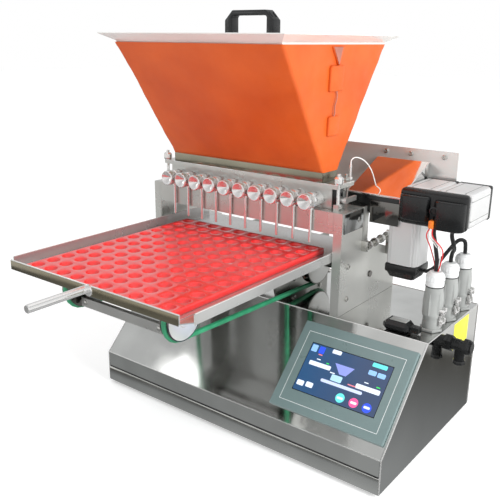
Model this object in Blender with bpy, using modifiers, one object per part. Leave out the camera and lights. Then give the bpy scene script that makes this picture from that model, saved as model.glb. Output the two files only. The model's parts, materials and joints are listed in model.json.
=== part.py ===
"""Bench-top depositor: heated hopper, ten-nozzle piston block, mould tray on belts, folded steel base.

Metres, +Z up. Every place below is given from the machine's datum, the front left corner of the base at floor
level: +X to the right, +Y to the rear. All objects are children of the empty "machine_datum", which puts the
middle of the whole machine's footprint on the world origin.
"""
import math

import bmesh
import bpy
from mathutils import Vector

GAP = 0.0003                       # clearance between pieces that touch

# Base, a folded lectern-shaped casing
BASE_WIDTH, BASE_DEPTH = 0.615, 0.366
FOOT_HEIGHT, FOOT_RADIUS = 0.006, 0.015
SKIRT_TOP = 0.068                  # top of the upright front skirt
DECK_FRONT, DECK_TOP = 0.142, 0.212
SHEET = 0.002                      # casing sheet

# Touch-screen terminal on the slanted face
HMI_WIDTH, HMI_HEIGHT, HMI_PROUD = 0.215, 0.161, 0.006
HMI_RIGHT_MARGIN, HMI_UP_SLOPE = 0.005, 0.021
SCREEN_WIDTH, SCREEN_HEIGHT = 0.156, 0.090

# Bridge over the tray
BRIDGE_WIDTH, BRIDGE_FRONT, BRIDGE_REAR = 0.445, 0.147, 0.217
BRIDGE_TOP, BEAM_BOTTOM, SIDE_SHEET_TOP = 0.399, 0.361, 0.336
CENTRE_X = BRIDGE_WIDTH / 2

# Piston block and nozzles
NOZZLES, PITCH = 10, 0.0358
BLOCK_HALF, BLOCK_FRONT, BLOCK_REAR = 0.189, 0.162, 0.208
BLOCK_BOTTOM, BLOCK_TOP = 0.3993, 0.436
BORE_Z, BORE_RADIUS = 0.416, 0.008
SPOOL_Y, SPOOL_RADIUS = 0.1735, 0.006
HEAD_LENGTH, HEAD_RADIUS = 0.0455, 0.0145
TUBE_Y, TUBE_TIP, TUBE_RADIUS, TUBE_BORE = 0.140, 0.341, 0.0026, 0.0012
PISTON_FRONT = 0.1835

# Hopper
FLANGE_HALF, FLANGE_FRONT, FLANGE_REAR = 0.203, 0.156, 0.212
FLANGE_BOTTOM, FLANGE_TOP = 0.4363, 0.444
HOPPER_Y = 0.178
NECK_HALF_X, NECK_HALF_Y, NECK_TOP = 0.172, 0.0195, 0.460
HOPPER_HALF_X, HOPPER_HALF_Y, HOPPER_TOP = 0.179, 0.161, 0.675
RIM_HALF_X, RIM_HALF_Y, RIM_TOP = 0.200, 0.185, 0.687
WALL, JACKET = 0.0015, 0.0025
LID_HALF_X, LID_HALF_Y, LID_BOTTOM, LID_SHEET = 0.186, 0.168, 0.6815, 0.002

# Tray and mould
TRAY_LEFT, LIP_RIGHT, TRAY_RIGHT, TRAY_FRONT, TRAY_REAR = 0.032, 0.413, 0.4255, -0.224, 0.276
TRAY_BOTTOM, TRAY_SHEET, LIP_TOP, TRAY_WALL_TOP = 0.3125, 0.0015, 0.326, 0.3305
MOULD_LEFT, MOULD_RIGHT, MOULD_FRONT, MOULD_REAR, MOULD_HEIGHT = 0.0635, 0.394, -0.2205, 0.172, 0.010
ROD_RADIUS, ROD_END = 0.0065, -0.328

# Conveyor
BELT_X = (0.098, 0.328)
BELT_RADIUS, BELT_TOP = 0.0045, 0.312
IDLER_Y, IDLER_RADIUS = -0.132, 0.036
DRIVE_Y, DRIVE_RADIUS = 0.255, 0.043
PLATE_X = (0.124, 0.299)
SHAFT_RADIUS = 0.006
FACET_SAG = 0.0012                 # how far a belt's flat facets may cut inside its true arc

# Drives at the rear right
HOOD_LEFT, HOOD_RIGHT, HOOD_FRONT, HOOD_REAR = 0.404, 0.507, 0.230, 0.350
HOOD_BOTTOM, HOOD_LIP, HOOD_TOP, GUARD_TOP, GUARD_RIGHT = 0.389, 0.421, 0.469, 0.490, 0.560
COVER_LEFT, COVER_RIGHT, COVER_FRONT, COVER_REAR = 0.5095, 0.628, 0.207, 0.2395
COVER_BOTTOM, COVER_TOP = 0.381, 0.443
SERVO, SERVO_REAR = 0.059, 0.337
SERVO_Z = 0.413
LIFT_SERVO_X, LIFT_SERVO_Y, LIFT_SERVO_HALF = 0.5135, 0.262, 0.0295
LIFT_CAP_BOTTOM, LIFT_CAP_TOP = 0.2755, 0.3010

# Connectors
PLUG_X, PLUG_Y = 0.594, (0.200, 0.262, 0.327)
PLUG_RADIUS, PLUG_TOP = 0.0175, 0.316
GLAND_END = 0.656

# The footprint that the world origin is centred on
MACHINE_LEFT, MACHINE_RIGHT = 0.0, GLAND_END
MACHINE_FRONT, MACHINE_REAR = ROD_END, BASE_DEPTH


def clear_scene():
    for old in list(bpy.data.objects):
        bpy.data.objects.remove(old, do_unlink=True)
    for old in list(bpy.data.collections):
        bpy.data.collections.remove(old)


clear_scene()
machine = bpy.data.collections.new("depositor")
cutters = bpy.data.collections.new("cutters")
for collection in (machine, cutters):
    bpy.context.scene.collection.children.link(collection)

datum = bpy.data.objects.new("machine_datum", None)
datum.location = (-(MACHINE_LEFT + MACHINE_RIGHT) / 2, -(MACHINE_FRONT + MACHINE_REAR) / 2, 0)
machine.objects.link(datum)


def material(name, colour, roughness, metallic):
    made = bpy.data.materials.new(name)
    made.use_nodes = True
    shader = made.node_tree.nodes["Principled BSDF"]
    shader.inputs["Base Color"].default_value = (*colour, 1)
    shader.inputs["Roughness"].default_value = roughness
    shader.inputs["Metallic"].default_value = metallic
    return made


MIRROR = material("mirror_steel", (0.72, 0.72, 0.71), 0.06, 1)
BRUSHED = material("brushed_steel", (0.58, 0.58, 0.57), 0.32, 1)
CHROME = material("polished_heads", (0.82, 0.81, 0.80), 0.08, 1)
ALUMINIUM = material("aluminium", (0.76, 0.76, 0.76), 0.35, 1)
BLACK = material("black_plastic", (0.02, 0.02, 0.022), 0.35, 0)
GREY = material("plug_grey", (0.60, 0.61, 0.60), 0.40, 0)
RUBBER = material("foot_rubber", (0.03, 0.03, 0.03), 0.80, 0)
BELT_GREEN = material("belt_green", (0.02, 0.34, 0.14), 0.45, 0)
ORANGE = material("silicone_orange", (0.86, 0.20, 0.04), 0.55, 0)
RED = material("silicone_red", (0.90, 0.05, 0.05), 0.40, 0)
BEZEL = material("terminal_grey", (0.22, 0.29, 0.29), 0.45, 0)
GLASS = material("screen_glass", (0.03, 0.05, 0.14), 0.10, 0)
ELECTRIC = material("control_case", (0.30, 0.31, 0.32), 0.50, 0)


def place(name, mesh, look, location=(0, 0, 0), rotation=(0, 0, 0), group=None):
    piece = bpy.data.objects.new(name, mesh)
    piece.parent = datum
    piece.location = location
    piece.rotation_euler = rotation
    (group or machine).objects.link(piece)
    if look:
        mesh.materials.append(look)
    if group is cutters:
        piece.hide_render = True
        piece.display_type = "WIRE"
    return piece


def finished_mesh(name, work):
    bmesh.ops.recalc_face_normals(work, faces=work.faces)
    mesh = bpy.data.meshes.new(name)
    work.to_mesh(mesh)
    work.free()
    return mesh


def box(name, low, high, look=None, group=None, rounding=0.0, segments=2):
    """A block between two corners, with its origin at its middle."""
    low, high = Vector(low), Vector(high)
    work = bmesh.new()
    bmesh.ops.create_cube(work, size=1)
    bmesh.ops.scale(work, vec=high - low, verts=work.verts)
    piece = place(name, finished_mesh(name, work), look, (low + high) / 2, group=group)
    if rounding:
        bevel = piece.modifiers.new("rounding", "BEVEL")
        bevel.width, bevel.segments = rounding, segments
    return piece


def rod(name, start, end, radius, look=None, group=None, sides=24, end_radius=None):
    """A round bar from start to end, with its origin at start."""
    start, end = Vector(start), Vector(end)
    reach = end - start
    work = bmesh.new()
    bmesh.ops.create_cone(work, cap_ends=True, segments=sides, radius1=radius,
                          radius2=radius if end_radius is None else end_radius, depth=reach.length)
    bmesh.ops.translate(work, vec=(0, 0, reach.length / 2), verts=work.verts)
    mesh = finished_mesh(name, work)
    mesh.shade_smooth()
    mesh.set_sharp_from_angle(angle=math.radians(40))
    turn = reach.to_track_quat("Z", "Y").to_euler()
    return place(name, mesh, look, start, turn, group)


def turned(name, profile, location, axis, look=None, group=None, sides=24):
    """A solid of revolution. The profile is (radius, distance along the axis), run from far end to near end."""
    mesh = bpy.data.meshes.new(name)
    points = [(radius, 0, along) for radius, along in profile]
    edges = [(i, i + 1) for i in range(len(points) - 1)]
    if profile[0][0] > 0:
        edges.append((len(points) - 1, 0))
    mesh.from_pydata(points, edges, [])
    turn = Vector(axis).to_track_quat("Z", "Y").to_euler()
    piece = place(name, mesh, look, location, turn, group)
    screw = piece.modifiers.new("turning", "SCREW")
    screw.axis, screw.angle = "Z", math.tau
    screw.steps = screw.render_steps = sides
    screw.use_merge_vertices, screw.merge_threshold = True, 1e-5
    screw.use_smooth_shade = True
    return piece


def slab(name, outline, thickness, location, rotation, look=None, group=None):
    """A flat plate from a closed outline, drawn in the plate's own plane, as a mesh with welded caps."""
    drawing = bpy.data.curves.new(name, "CURVE")
    drawing.dimensions = "2D"
    drawing.fill_mode = "BOTH"
    drawing.extrude = thickness / 2
    path = drawing.splines.new("POLY")
    path.points.add(len(outline) - 1)
    for point, (across, up) in zip(path.points, outline):
        point.co = (across, up, 0, 1)
    path.use_cyclic_u = True
    return welded(place(name, drawing, look, location, rotation, group), group)


def welded(drawn, group=None):
    """Replace a curve object by a mesh object of the same name, place and shape, with its caps welded."""
    bpy.context.view_layer.update()
    evaluated = drawn.evaluated_get(bpy.context.evaluated_depsgraph_get())
    mesh = bpy.data.meshes.new_from_object(evaluated)
    work = bmesh.new()
    work.from_mesh(mesh)
    bmesh.ops.remove_doubles(work, verts=work.verts, dist=1e-5)
    bmesh.ops.recalc_face_normals(work, faces=work.faces)
    work.to_mesh(mesh)
    work.free()
    name, location, rotation = drawn.name, drawn.location.copy(), drawn.rotation_euler.copy()
    bpy.data.objects.remove(drawn, do_unlink=True)
    return place(name, mesh, None, location, rotation, group)


def folded(name, profile, left, right, thickness, look):
    """A bent sheet: a (y, z) profile drawn along X, thickened inwards."""
    work = bmesh.new()
    near = [work.verts.new((0, y, z)) for y, z in profile]
    far = [work.verts.new((right - left, y, z)) for y, z in profile]
    for i in range(len(profile) - 1):
        work.faces.new((near[i], far[i], far[i + 1], near[i + 1]))
    mesh = bpy.data.meshes.new(name)
    work.to_mesh(mesh)
    work.free()
    piece = place(name, mesh, look, (left, 0, 0))
    skin = piece.modifiers.new("sheet", "SOLIDIFY")
    skin.thickness, skin.offset = thickness, -1
    skin.use_even_offset = True
    return piece


def frustum_shell(name, rings, centre, thickness, look):
    """A four-sided shell through rectangular rings of (half x, half y, z), open at both ends."""
    work = bmesh.new()
    corners = [[work.verts.new((sx * hx, sy * hy, z)) for sx, sy in ((-1, -1), (1, -1), (1, 1), (-1, 1))]
               for hx, hy, z in rings]
    for lower, upper in zip(corners, corners[1:]):
        for i in range(4):
            j = (i + 1) % 4
            work.faces.new((lower[i], lower[j], upper[j], upper[i]))
    mesh = bpy.data.meshes.new(name)
    work.to_mesh(mesh)
    work.free()
    piece = place(name, mesh, look, (*centre, 0))
    skin = piece.modifiers.new("wall", "SOLIDIFY")
    skin.solidify_mode, skin.nonmanifold_thickness_mode = "NON_MANIFOLD", "CONSTRAINTS"
    skin.thickness, skin.offset = thickness, -1
    return piece


def tube(name, points, radius, look, cyclic=False):
    drawing = bpy.data.curves.new(name, "CURVE")
    drawing.dimensions = "3D"
    drawing.bevel_depth, drawing.bevel_resolution = radius, 2
    drawing.use_fill_caps = not cyclic
    path = drawing.splines.new("POLY")
    path.points.add(len(points) - 1)
    for point, spot in zip(path.points, points):
        point.co = (*spot, 1)
    path.use_cyclic_u = cyclic
    return place(name, drawing, look)


def smooth_route(points, steps=4):
    """Points on a Catmull-Rom curve through the route's own points."""
    spots = [Vector(p) for p in points]
    spots = [2 * spots[0] - spots[1], *spots, 2 * spots[-1] - spots[-2]]
    route = []
    for a, b, c, d in zip(spots, spots[1:], spots[2:], spots[3:]):
        for k in range(steps):
            t = k / steps
            route.append(0.5 * (2 * b + (c - a) * t + (2 * a - 5 * b + 4 * c - d) * t * t
                                + (3 * b - a - 3 * c + d) * t ** 3))
    return [*route, spots[-2]]


def combine(piece, tool, operation):
    change = piece.modifiers.new(operation.lower(), "BOOLEAN")
    change.operation, change.solver, change.object = operation, "EXACT", tool
    return piece


def cut(piece, *tools):
    for tool in tools:
        combine(piece, tool, "DIFFERENCE")
    return piece


def join(piece, *tools):
    """Fuse further shapes, which live in the cutters' collection, onto a piece."""
    for tool in tools:
        combine(piece, tool, "UNION")
    return piece


# ---------------------------------------------------------------- base
CASING = [(0, FOOT_HEIGHT), (0, SKIRT_TOP), (DECK_FRONT, DECK_TOP), (BASE_DEPTH, DECK_TOP),
          (BASE_DEPTH, FOOT_HEIGHT)]
SLOPE = math.atan2(DECK_TOP - SKIRT_TOP, DECK_FRONT)
HMI_LEFT = BASE_WIDTH - HMI_RIGHT_MARGIN - HMI_WIDTH


def on_slope(along, up, proud):
    """A point on the slanted face: along X, up the slope, and proud of it."""
    return Vector((along, up * math.cos(SLOPE) - proud * math.sin(SLOPE),
                   SKIRT_TOP + up * math.sin(SLOPE) + proud * math.cos(SLOPE)))


def slope_box(name, across, up, proud, look=None, group=None, rounding=0.0):
    """A block square to the slanted face, from ranges across, up the slope and proud of it."""
    piece = box(name, (across[0], up[0], proud[0]), (across[1], up[1], proud[1]), look, group, rounding)
    piece.location = on_slope(sum(across) / 2, sum(up) / 2, sum(proud) / 2)
    piece.rotation_euler = (SLOPE, 0, 0)
    return piece


def build_base():
    shell = folded("base_shell", CASING, SHEET + GAP, BASE_WIDTH - SHEET - GAP, SHEET, MIRROR)
    up = (HMI_UP_SLOPE + 0.008, HMI_UP_SLOPE + HMI_HEIGHT - 0.008)
    across = (HMI_LEFT + 0.008, HMI_LEFT + HMI_WIDTH - 0.008)
    cut(shell, slope_box("terminal_opening", across, up, (-0.012, 0.012), group=cutters))
    turn = (math.radians(90), 0, math.radians(90))
    for name, x in (("base_end_left", SHEET / 2), ("base_end_right", BASE_WIDTH - SHEET / 2)):
        slab(name, CASING, SHEET, (x, 0, 0), turn, MIRROR)
    inside = SHEET + 2 * GAP
    box("base_bottom_plate", (inside, inside, FOOT_HEIGHT),
        (BASE_WIDTH - inside, BASE_DEPTH - inside, FOOT_HEIGHT + SHEET), BRUSHED)
    for name, x, y in (("foot_front_left", 0.045, 0.045), ("foot_front_right", 0.570, 0.045),
                       ("foot_rear_left", 0.045, 0.320), ("foot_rear_right", 0.570, 0.320)):
        rod(name, (x, y, 0), (x, y, FOOT_HEIGHT - GAP), FOOT_RADIUS - 0.002, RUBBER, end_radius=FOOT_RADIUS)
    box("control_unit", (0.060, 0.170, FOOT_HEIGHT + SHEET + GAP), (0.330, 0.330, 0.105), ELECTRIC,
        rounding=0.003, segments=1)


def build_terminal():
    up = (HMI_UP_SLOPE, HMI_UP_SLOPE + HMI_HEIGHT)
    across = (HMI_LEFT, HMI_LEFT + HMI_WIDTH)
    body = slope_box("terminal_body", across, up, (GAP, HMI_PROUD), BEZEL, rounding=0.0015)
    rear = slope_box("terminal_rear", (across[0] + 0.010, across[1] - 0.010), (up[0] + 0.010, up[1] - 0.010),
                     (-0.034, HMI_PROUD - 0.002), group=cutters)
    left = HMI_LEFT + (HMI_WIDTH - SCREEN_WIDTH) / 2
    low = HMI_UP_SLOPE + (HMI_HEIGHT - SCREEN_HEIGHT) / 2
    window = (left, left + SCREEN_WIDTH), (low, low + SCREEN_HEIGHT)
    pocket = slope_box("screen_pocket", *window, (HMI_PROUD - 0.0015, HMI_PROUD + 0.005), group=cutters)
    join(body, rear)
    cut(body, pocket)
    slope_box("terminal_screen", (window[0][0] + GAP, window[0][1] - GAP),
              (window[1][0] + GAP, window[1][1] - GAP), (HMI_PROUD - 0.0012, HMI_PROUD - 0.0002), GLASS)


# ---------------------------------------------------------------- bridge
def build_bridge():
    foot = DECK_TOP + GAP
    sheet, flange, tab_width = 0.003, 0.017, 0.022
    rear_of_side = 0.356
    outline = [(BRIDGE_FRONT, foot), (rear_of_side, foot), (rear_of_side, 0.290),
               (BRIDGE_REAR + 0.012, SIDE_SHEET_TOP), (BRIDGE_REAR, SIDE_SHEET_TOP),
               (BRIDGE_REAR, BRIDGE_TOP), (BRIDGE_FRONT, BRIDGE_TOP)]
    turn = (math.radians(90), 0, math.radians(90))
    journal = rod("shaft_hole", (-0.01, DRIVE_Y, DRIVE_AXIS_Z), (BRIDGE_WIDTH + 0.01, DRIVE_Y, DRIVE_AXIS_Z),
                  SHAFT_RADIUS + GAP, group=cutters)
    for name, outer, side in (("bridge_upright_left", 0, 1), ("bridge_upright_right", BRIDGE_WIDTH, -1)):
        plate = slab(name, outline, sheet, (outer + side * sheet / 2, 0, 0), turn, MIRROR)
        left, right = sorted((outer, outer + side * flange))
        leg = box(name + "_flange", (left, BRIDGE_FRONT - sheet, foot),
                  (right, BRIDGE_FRONT + 0.0002, BRIDGE_TOP), group=cutters)
        left, right = sorted((outer, outer + side * tab_width))
        tab = box(name + "_tab", (left, BRIDGE_FRONT + 0.01, foot), (right, rear_of_side, foot + sheet),
                  group=cutters)
        join(plate, leg, tab)
        if side < 0:
            cut(plate, journal)
    inner = flange + GAP
    beam = box("bridge_beam", (inner, BRIDGE_FRONT - sheet, BEAM_BOTTOM),
               (BRIDGE_WIDTH - inner, BRIDGE_FRONT, BRIDGE_TOP), BRUSHED)
    side_gap = sheet + GAP
    top = box("beam_top", (side_gap, BRIDGE_FRONT + GAP, BRIDGE_TOP - sheet),
              (BRIDGE_WIDTH - side_gap, BRIDGE_REAR, BRIDGE_TOP), group=cutters)
    lap = box("beam_lap", (inner, BRIDGE_FRONT - 0.001, BRIDGE_TOP - sheet),
              (BRIDGE_WIDTH - inner, BRIDGE_FRONT + 0.002, BRIDGE_TOP), group=cutters)
    rear = box("beam_rear", (side_gap, BRIDGE_REAR - sheet, 0.345),
               (BRIDGE_WIDTH - side_gap, BRIDGE_REAR, BRIDGE_TOP), group=cutters)
    join(beam, lap, top, rear, *swing_bolt_ears())


def swing_bolt_ears():
    """The two forks on the beam that hold the clamp bolts, each a pair of ears and a pin."""
    shapes = []
    for side in (-1, 1):
        x = CENTRE_X + side * SWING_X
        for y in (SWING_Y - EYE_HALF - 0.0033, SWING_Y + EYE_HALF + 0.0003):
            shapes.append(box(f"ear_{side}_{y:.4f}", (x - 0.005, y, BRIDGE_TOP - 0.001),
                              (x + 0.005, y + 0.003, SWING_PIVOT_Z + 0.0045), group=cutters))
        shapes.append(rod(f"ear_pin_{side}", (x, SWING_Y - EYE_HALF - 0.0025, SWING_PIVOT_Z),
                          (x, SWING_Y + EYE_HALF + 0.0025, SWING_PIVOT_Z), PIN_RADIUS, group=cutters, sides=12))
    return shapes


# ---------------------------------------------------------------- conveyor
IDLER_AXIS_Z = BELT_TOP - BELT_RADIUS - IDLER_RADIUS
DRIVE_AXIS_Z = BELT_TOP - BELT_RADIUS - DRIVE_RADIUS


def belt_loop():
    """Centre line of a belt round its front idler and rear drive wheel, in the YZ plane, front going down."""
    dy, dz = DRIVE_Y - IDLER_Y, DRIVE_AXIS_Z - IDLER_AXIS_Z
    lean = math.asin((DRIVE_RADIUS - IDLER_RADIUS) / math.hypot(dy, dz)) + math.atan2(-dz, dy)
    points = []
    turns = 10
    for k in range(turns + 1):
        angle = math.radians(90) + k / turns * (math.radians(180) - lean)
        points.append((IDLER_Y + IDLER_RADIUS * math.cos(angle), IDLER_AXIS_Z + IDLER_RADIUS * math.sin(angle)))
    for k in range(turns + 1):
        angle = math.radians(270) - lean + k / turns * (math.radians(180) + lean)
        points.append((DRIVE_Y + DRIVE_RADIUS * math.cos(angle), DRIVE_AXIS_Z + DRIVE_RADIUS * math.sin(angle)))
    return points


def grooved_wheel(name, x, y, z, radius):
    """A belt wheel about X, with a round groove that clears the belt."""
    half, lip, floor = 0.0085, 0.0066, 0.0040
    rim, groove = radius + 0.0005, radius - BELT_RADIUS - FACET_SAG
    profile = [(0, half), (rim, half), (rim, lip), (groove, floor), (groove, -floor), (rim, -lip), (rim, -half),
               (0, -half)]
    return turned(name, profile, (x, y, z), (1, 0, 0), group=cutters, sides=24)


def build_conveyor():
    loop = belt_loop()
    for side, x in zip(("left", "right"), BELT_X):
        tube("belt_" + side, [(x, y, z) for y, z in loop], BELT_RADIUS, BELT_GREEN, cyclic=True)
    foot, top = DECK_TOP + GAP, 0.301
    outline = [(-0.140, 0.259), (-0.140, 0.245), (0.150, 0.245), (0.160, foot), (0.345, foot), (0.345, top),
               (-0.108, top), (-0.134, 0.290)]
    turn = (math.radians(90), 0, math.radians(90))
    holes = [rod("idler_hole", (0, IDLER_Y, IDLER_AXIS_Z), (0.5, IDLER_Y, IDLER_AXIS_Z), SHAFT_RADIUS + GAP,
                 group=cutters),
             rod("drive_hole", (0.08, DRIVE_Y, DRIVE_AXIS_Z), (0.5, DRIVE_Y, DRIVE_AXIS_Z), SHAFT_RADIUS + GAP,
                 group=cutters)]
    for side, x in zip(("left", "right"), PLATE_X):
        plate = slab("conveyor_plate_" + side, outline, 0.004, (x, 0, 0), turn, BRUSHED)
        cut(plate, *holes)
    box("conveyor_front_bar", (0.114, -0.1485, 0.242), (0.309, -0.1403, 0.258), MIRROR)
    for name, y, z, radius, ends in (("front_idler", IDLER_Y, IDLER_AXIS_Z, IDLER_RADIUS, (0.087, 0.339)),
                                     ("drive_roller", DRIVE_Y, DRIVE_AXIS_Z, DRIVE_RADIUS,
                                      (0.062, BRIDGE_WIDTH + 0.002))):
        shaft = rod(name, (ends[0], y, z), (ends[1], y, z), SHAFT_RADIUS, ALUMINIUM)
        join(shaft, *(grooved_wheel(f"{name}_wheel_{x}", x, y, z, radius) for x in BELT_X))
    size = 0.042
    motor = box("conveyor_motor", (0.0093, DRIVE_Y - size / 2, DRIVE_AXIS_Z - size / 2),
                (0.057, DRIVE_Y + size / 2, DRIVE_AXIS_Z + size / 2), BLACK, rounding=0.003, segments=1)
    join(motor, rod("motor_flange_plate", (0.0033, DRIVE_Y, DRIVE_AXIS_Z), (0.020, DRIVE_Y, DRIVE_AXIS_Z), 0.018,
                    group=cutters),
         rod("motor_boss", (0.050, DRIVE_Y, DRIVE_AXIS_Z), (0.0617, DRIVE_Y, DRIVE_AXIS_Z), 0.011, group=cutters))


# ---------------------------------------------------------------- tray
def build_tray():
    floor = TRAY_BOTTOM + TRAY_SHEET
    outline = [(TRAY_LEFT, TRAY_FRONT), (LIP_RIGHT, TRAY_FRONT), (TRAY_RIGHT, TRAY_FRONT + 0.018),
               (TRAY_RIGHT, TRAY_REAR), (TRAY_LEFT, TRAY_REAR)]
    tray = slab("mould_tray", outline, TRAY_SHEET, (0, 0, (TRAY_BOTTOM + floor) / 2), (0, 0, 0), BRUSHED)
    lip = box("tray_lip", (TRAY_LEFT, TRAY_FRONT, TRAY_BOTTOM), (LIP_RIGHT, TRAY_FRONT + 0.002, LIP_TOP),
              group=cutters)
    left = box("tray_wall_left", (TRAY_LEFT, TRAY_FRONT + 0.006, TRAY_BOTTOM),
               (TRAY_LEFT + 0.002, TRAY_REAR, TRAY_WALL_TOP), group=cutters)
    right = box("tray_wall_right", (TRAY_RIGHT - 0.002, TRAY_FRONT + 0.018, TRAY_BOTTOM - 0.003),
                (TRAY_RIGHT, TRAY_REAR, LIP_TOP - 0.001), group=cutters)
    join(tray, lip, left, right)
    box("silicone_mould", (MOULD_LEFT, MOULD_FRONT, floor + GAP),
        (MOULD_RIGHT, MOULD_REAR, floor + MOULD_HEIGHT), RED, rounding=0.001, segments=1)
    middle = (CENTRE_X, TRAY_FRONT, (TRAY_BOTTOM + LIP_TOP) / 2)
    chamfer = 0.0012
    length = TRAY_FRONT - GAP - ROD_END
    turned("tray_handle_rod", [(0, length), (ROD_RADIUS - chamfer, length), (ROD_RADIUS, length - chamfer),
                               (ROD_RADIUS, chamfer), (ROD_RADIUS - chamfer, 0), (0, 0)],
           (middle[0], TRAY_FRONT - GAP, middle[2]), (0, -1, 0), CHROME)


# ---------------------------------------------------------------- piston block
def nozzle_x(k):
    return CENTRE_X + (k - (NOZZLES - 1) / 2) * PITCH


def build_block():
    low = (CENTRE_X - BLOCK_HALF, BLOCK_FRONT, BLOCK_BOTTOM)
    high = (CENTRE_X + BLOCK_HALF, BLOCK_REAR, BLOCK_TOP)
    block = box("piston_block", low, high, ALUMINIUM)
    bores = [rod(f"piston_bore_{k}", (nozzle_x(k), PISTON_FRONT - 0.001, BORE_Z),
                 (nozzle_x(k), BLOCK_REAR + 0.01, BORE_Z), BORE_RADIUS, group=cutters, sides=16)
             for k in range(NOZZLES)]
    spool_bore = rod("spool_bore", (low[0] - 0.01, SPOOL_Y, BORE_Z), (high[0] + 0.01, SPOOL_Y, BORE_Z),
                     SPOOL_RADIUS + GAP, group=cutters, sides=20)
    throat = box("throat", (nozzle_x(0) - 0.008, SPOOL_Y - 0.0018, BORE_Z),
                 (nozzle_x(NOZZLES - 1) + 0.008, SPOOL_Y + 0.0018, BLOCK_TOP + 0.01), group=cutters)
    cut(block, *bores, spool_bore, throat)

    head_face = BLOCK_FRONT - GAP - HEAD_LENGTH
    for k in range(NOZZLES):
        build_nozzle(f"nozzle_{k + 1:02d}", nozzle_x(k), head_face)

    lever_x = CENTRE_X + FLANGE_HALF + 0.0045
    spool = rod("valve_spool", (CENTRE_X - BLOCK_HALF - 0.004, SPOOL_Y, BORE_Z),
                (lever_x + 0.006, SPOOL_Y, BORE_Z), SPOOL_RADIUS, BRUSHED, sides=20)
    join(spool, box("spool_lever", (lever_x, SPOOL_Y - 0.005, BORE_Z - 0.004),
                    (lever_x + 0.0055, SPOOL_Y + 0.032, BORE_Z + 0.004), group=cutters))

    rear_face = BLOCK_REAR + 0.017
    comb = box("piston_bar", (nozzle_x(0) - 0.014, rear_face, BORE_Z - 0.009),
               (nozzle_x(NOZZLES - 1) + 0.014, rear_face + 0.012, BORE_Z + 0.009), BRUSHED)
    join(comb, *(rod(f"piston_{k}", (nozzle_x(k), PISTON_FRONT, BORE_Z), (nozzle_x(k), rear_face + 0.006, BORE_Z),
                     BORE_RADIUS - GAP, group=cutters, sides=16) for k in range(NOZZLES)))


def build_nozzle(name, x, face):
    """A nozzle head about Y with a conical recess in its front face, and the dosing tube below it."""
    length, outer = HEAD_LENGTH, HEAD_RADIUS
    waist, collar = 0.0118, 0.019
    profile = [(0, length), (0.0125, length), (0.0125, length - 0.008), (outer - 0.001, length - 0.009),
               (outer - 0.001, collar + 0.004), (waist, collar), (waist, collar - 0.003),
               (outer, collar - 0.006), (outer, 0.0012), (outer - 0.0012, 0), (outer - 0.0022, 0), (0, 0.0105)]
    head = turned(name, profile, (x, face, BORE_Z), (0, 1, 0), CHROME, sides=14)
    tube_top = BORE_Z - 0.008
    dosing = rod(name + "_tube", (x, TUBE_Y, TUBE_TIP), (x, TUBE_Y, tube_top), TUBE_RADIUS, group=cutters, sides=8)
    bore = rod(name + "_bore", (x, TUBE_Y, TUBE_TIP - 0.002), (x, TUBE_Y, tube_top - 0.003), TUBE_BORE,
               group=cutters, sides=6)
    join(head, dosing)
    cut(head, bore)


# ---------------------------------------------------------------- hopper
def build_hopper():
    centre = (CENTRE_X, HOPPER_Y)
    flange = box("hopper_flange", (CENTRE_X - FLANGE_HALF, FLANGE_FRONT, FLANGE_BOTTOM),
                 (CENTRE_X + FLANGE_HALF, FLANGE_REAR, FLANGE_TOP), BRUSHED)
    outlet = box("flange_outlet", (nozzle_x(0) - 0.008, HOPPER_Y - NECK_HALF_Y + 0.004, FLANGE_BOTTOM - 0.01),
                 (nozzle_x(NOZZLES - 1) + 0.008, HOPPER_Y + NECK_HALF_Y - 0.004, FLANGE_TOP + 0.01), group=cutters)
    slots = []
    for side in (-1, 1):
        ends = sorted((CENTRE_X + side * (SWING_X - 0.0045), CENTRE_X + side * (SWING_X + 0.02)))
        slots.append(box(f"bolt_slot_{side}", (ends[0], SWING_Y - 0.0042, FLANGE_BOTTOM - 0.01),
                         (ends[1], SWING_Y + 0.0042, FLANGE_TOP + 0.01), group=cutters))
    cut(flange, outlet, *slots)

    steel = [(NECK_HALF_X, NECK_HALF_Y, FLANGE_TOP + GAP), (NECK_HALF_X, NECK_HALF_Y, NECK_TOP),
             (HOPPER_HALF_X, HOPPER_HALF_Y, HOPPER_TOP), (RIM_HALF_X, RIM_HALF_Y, RIM_TOP)]
    frustum_shell("hopper_shell", steel, centre, WALL, MIRROR)
    lift = JACKET + GAP
    jacket = []
    for z in (NECK_TOP + 0.002, HOPPER_TOP - 0.004):
        ring = []
        for neck, top in ((NECK_HALF_X, HOPPER_HALF_X), (NECK_HALF_Y, HOPPER_HALF_Y)):
            slope = (top - neck) / (HOPPER_TOP - NECK_TOP)
            ring.append(neck + slope * (z - NECK_TOP) + lift * math.hypot(1, slope))
        jacket.append((*ring, z))
    frustum_shell("heater_jacket", jacket, centre, JACKET, ORANGE)

    box("hopper_lid", (CENTRE_X - LID_HALF_X, HOPPER_Y - LID_HALF_Y, LID_BOTTOM),
        (CENTRE_X + LID_HALF_X, HOPPER_Y + LID_HALF_Y, LID_BOTTOM + LID_SHEET), MIRROR)
    build_lid_handle()


def build_lid_handle():
    """A moulded bridge handle: a bar on two legs with bevelled shoulders."""
    half, height, leg, bar, shoulder = 0.0545, 0.0445, 0.0155, 0.009, 0.017
    outline = [(-half, 0), (-half, height - shoulder), (-half + shoulder, height), (half - shoulder, height),
               (half, height - shoulder), (half, 0), (half - leg, 0), (half - leg, height - bar - 0.003),
               (half - leg - 0.003, height - bar), (-half + leg + 0.003, height - bar),
               (-half + leg, height - bar - 0.003), (-half + leg, 0)]
    slab("lid_handle", outline, 0.022, (CENTRE_X, HOPPER_Y, LID_BOTTOM + LID_SHEET + GAP), (math.radians(90), 0, 0), BLACK)


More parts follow.
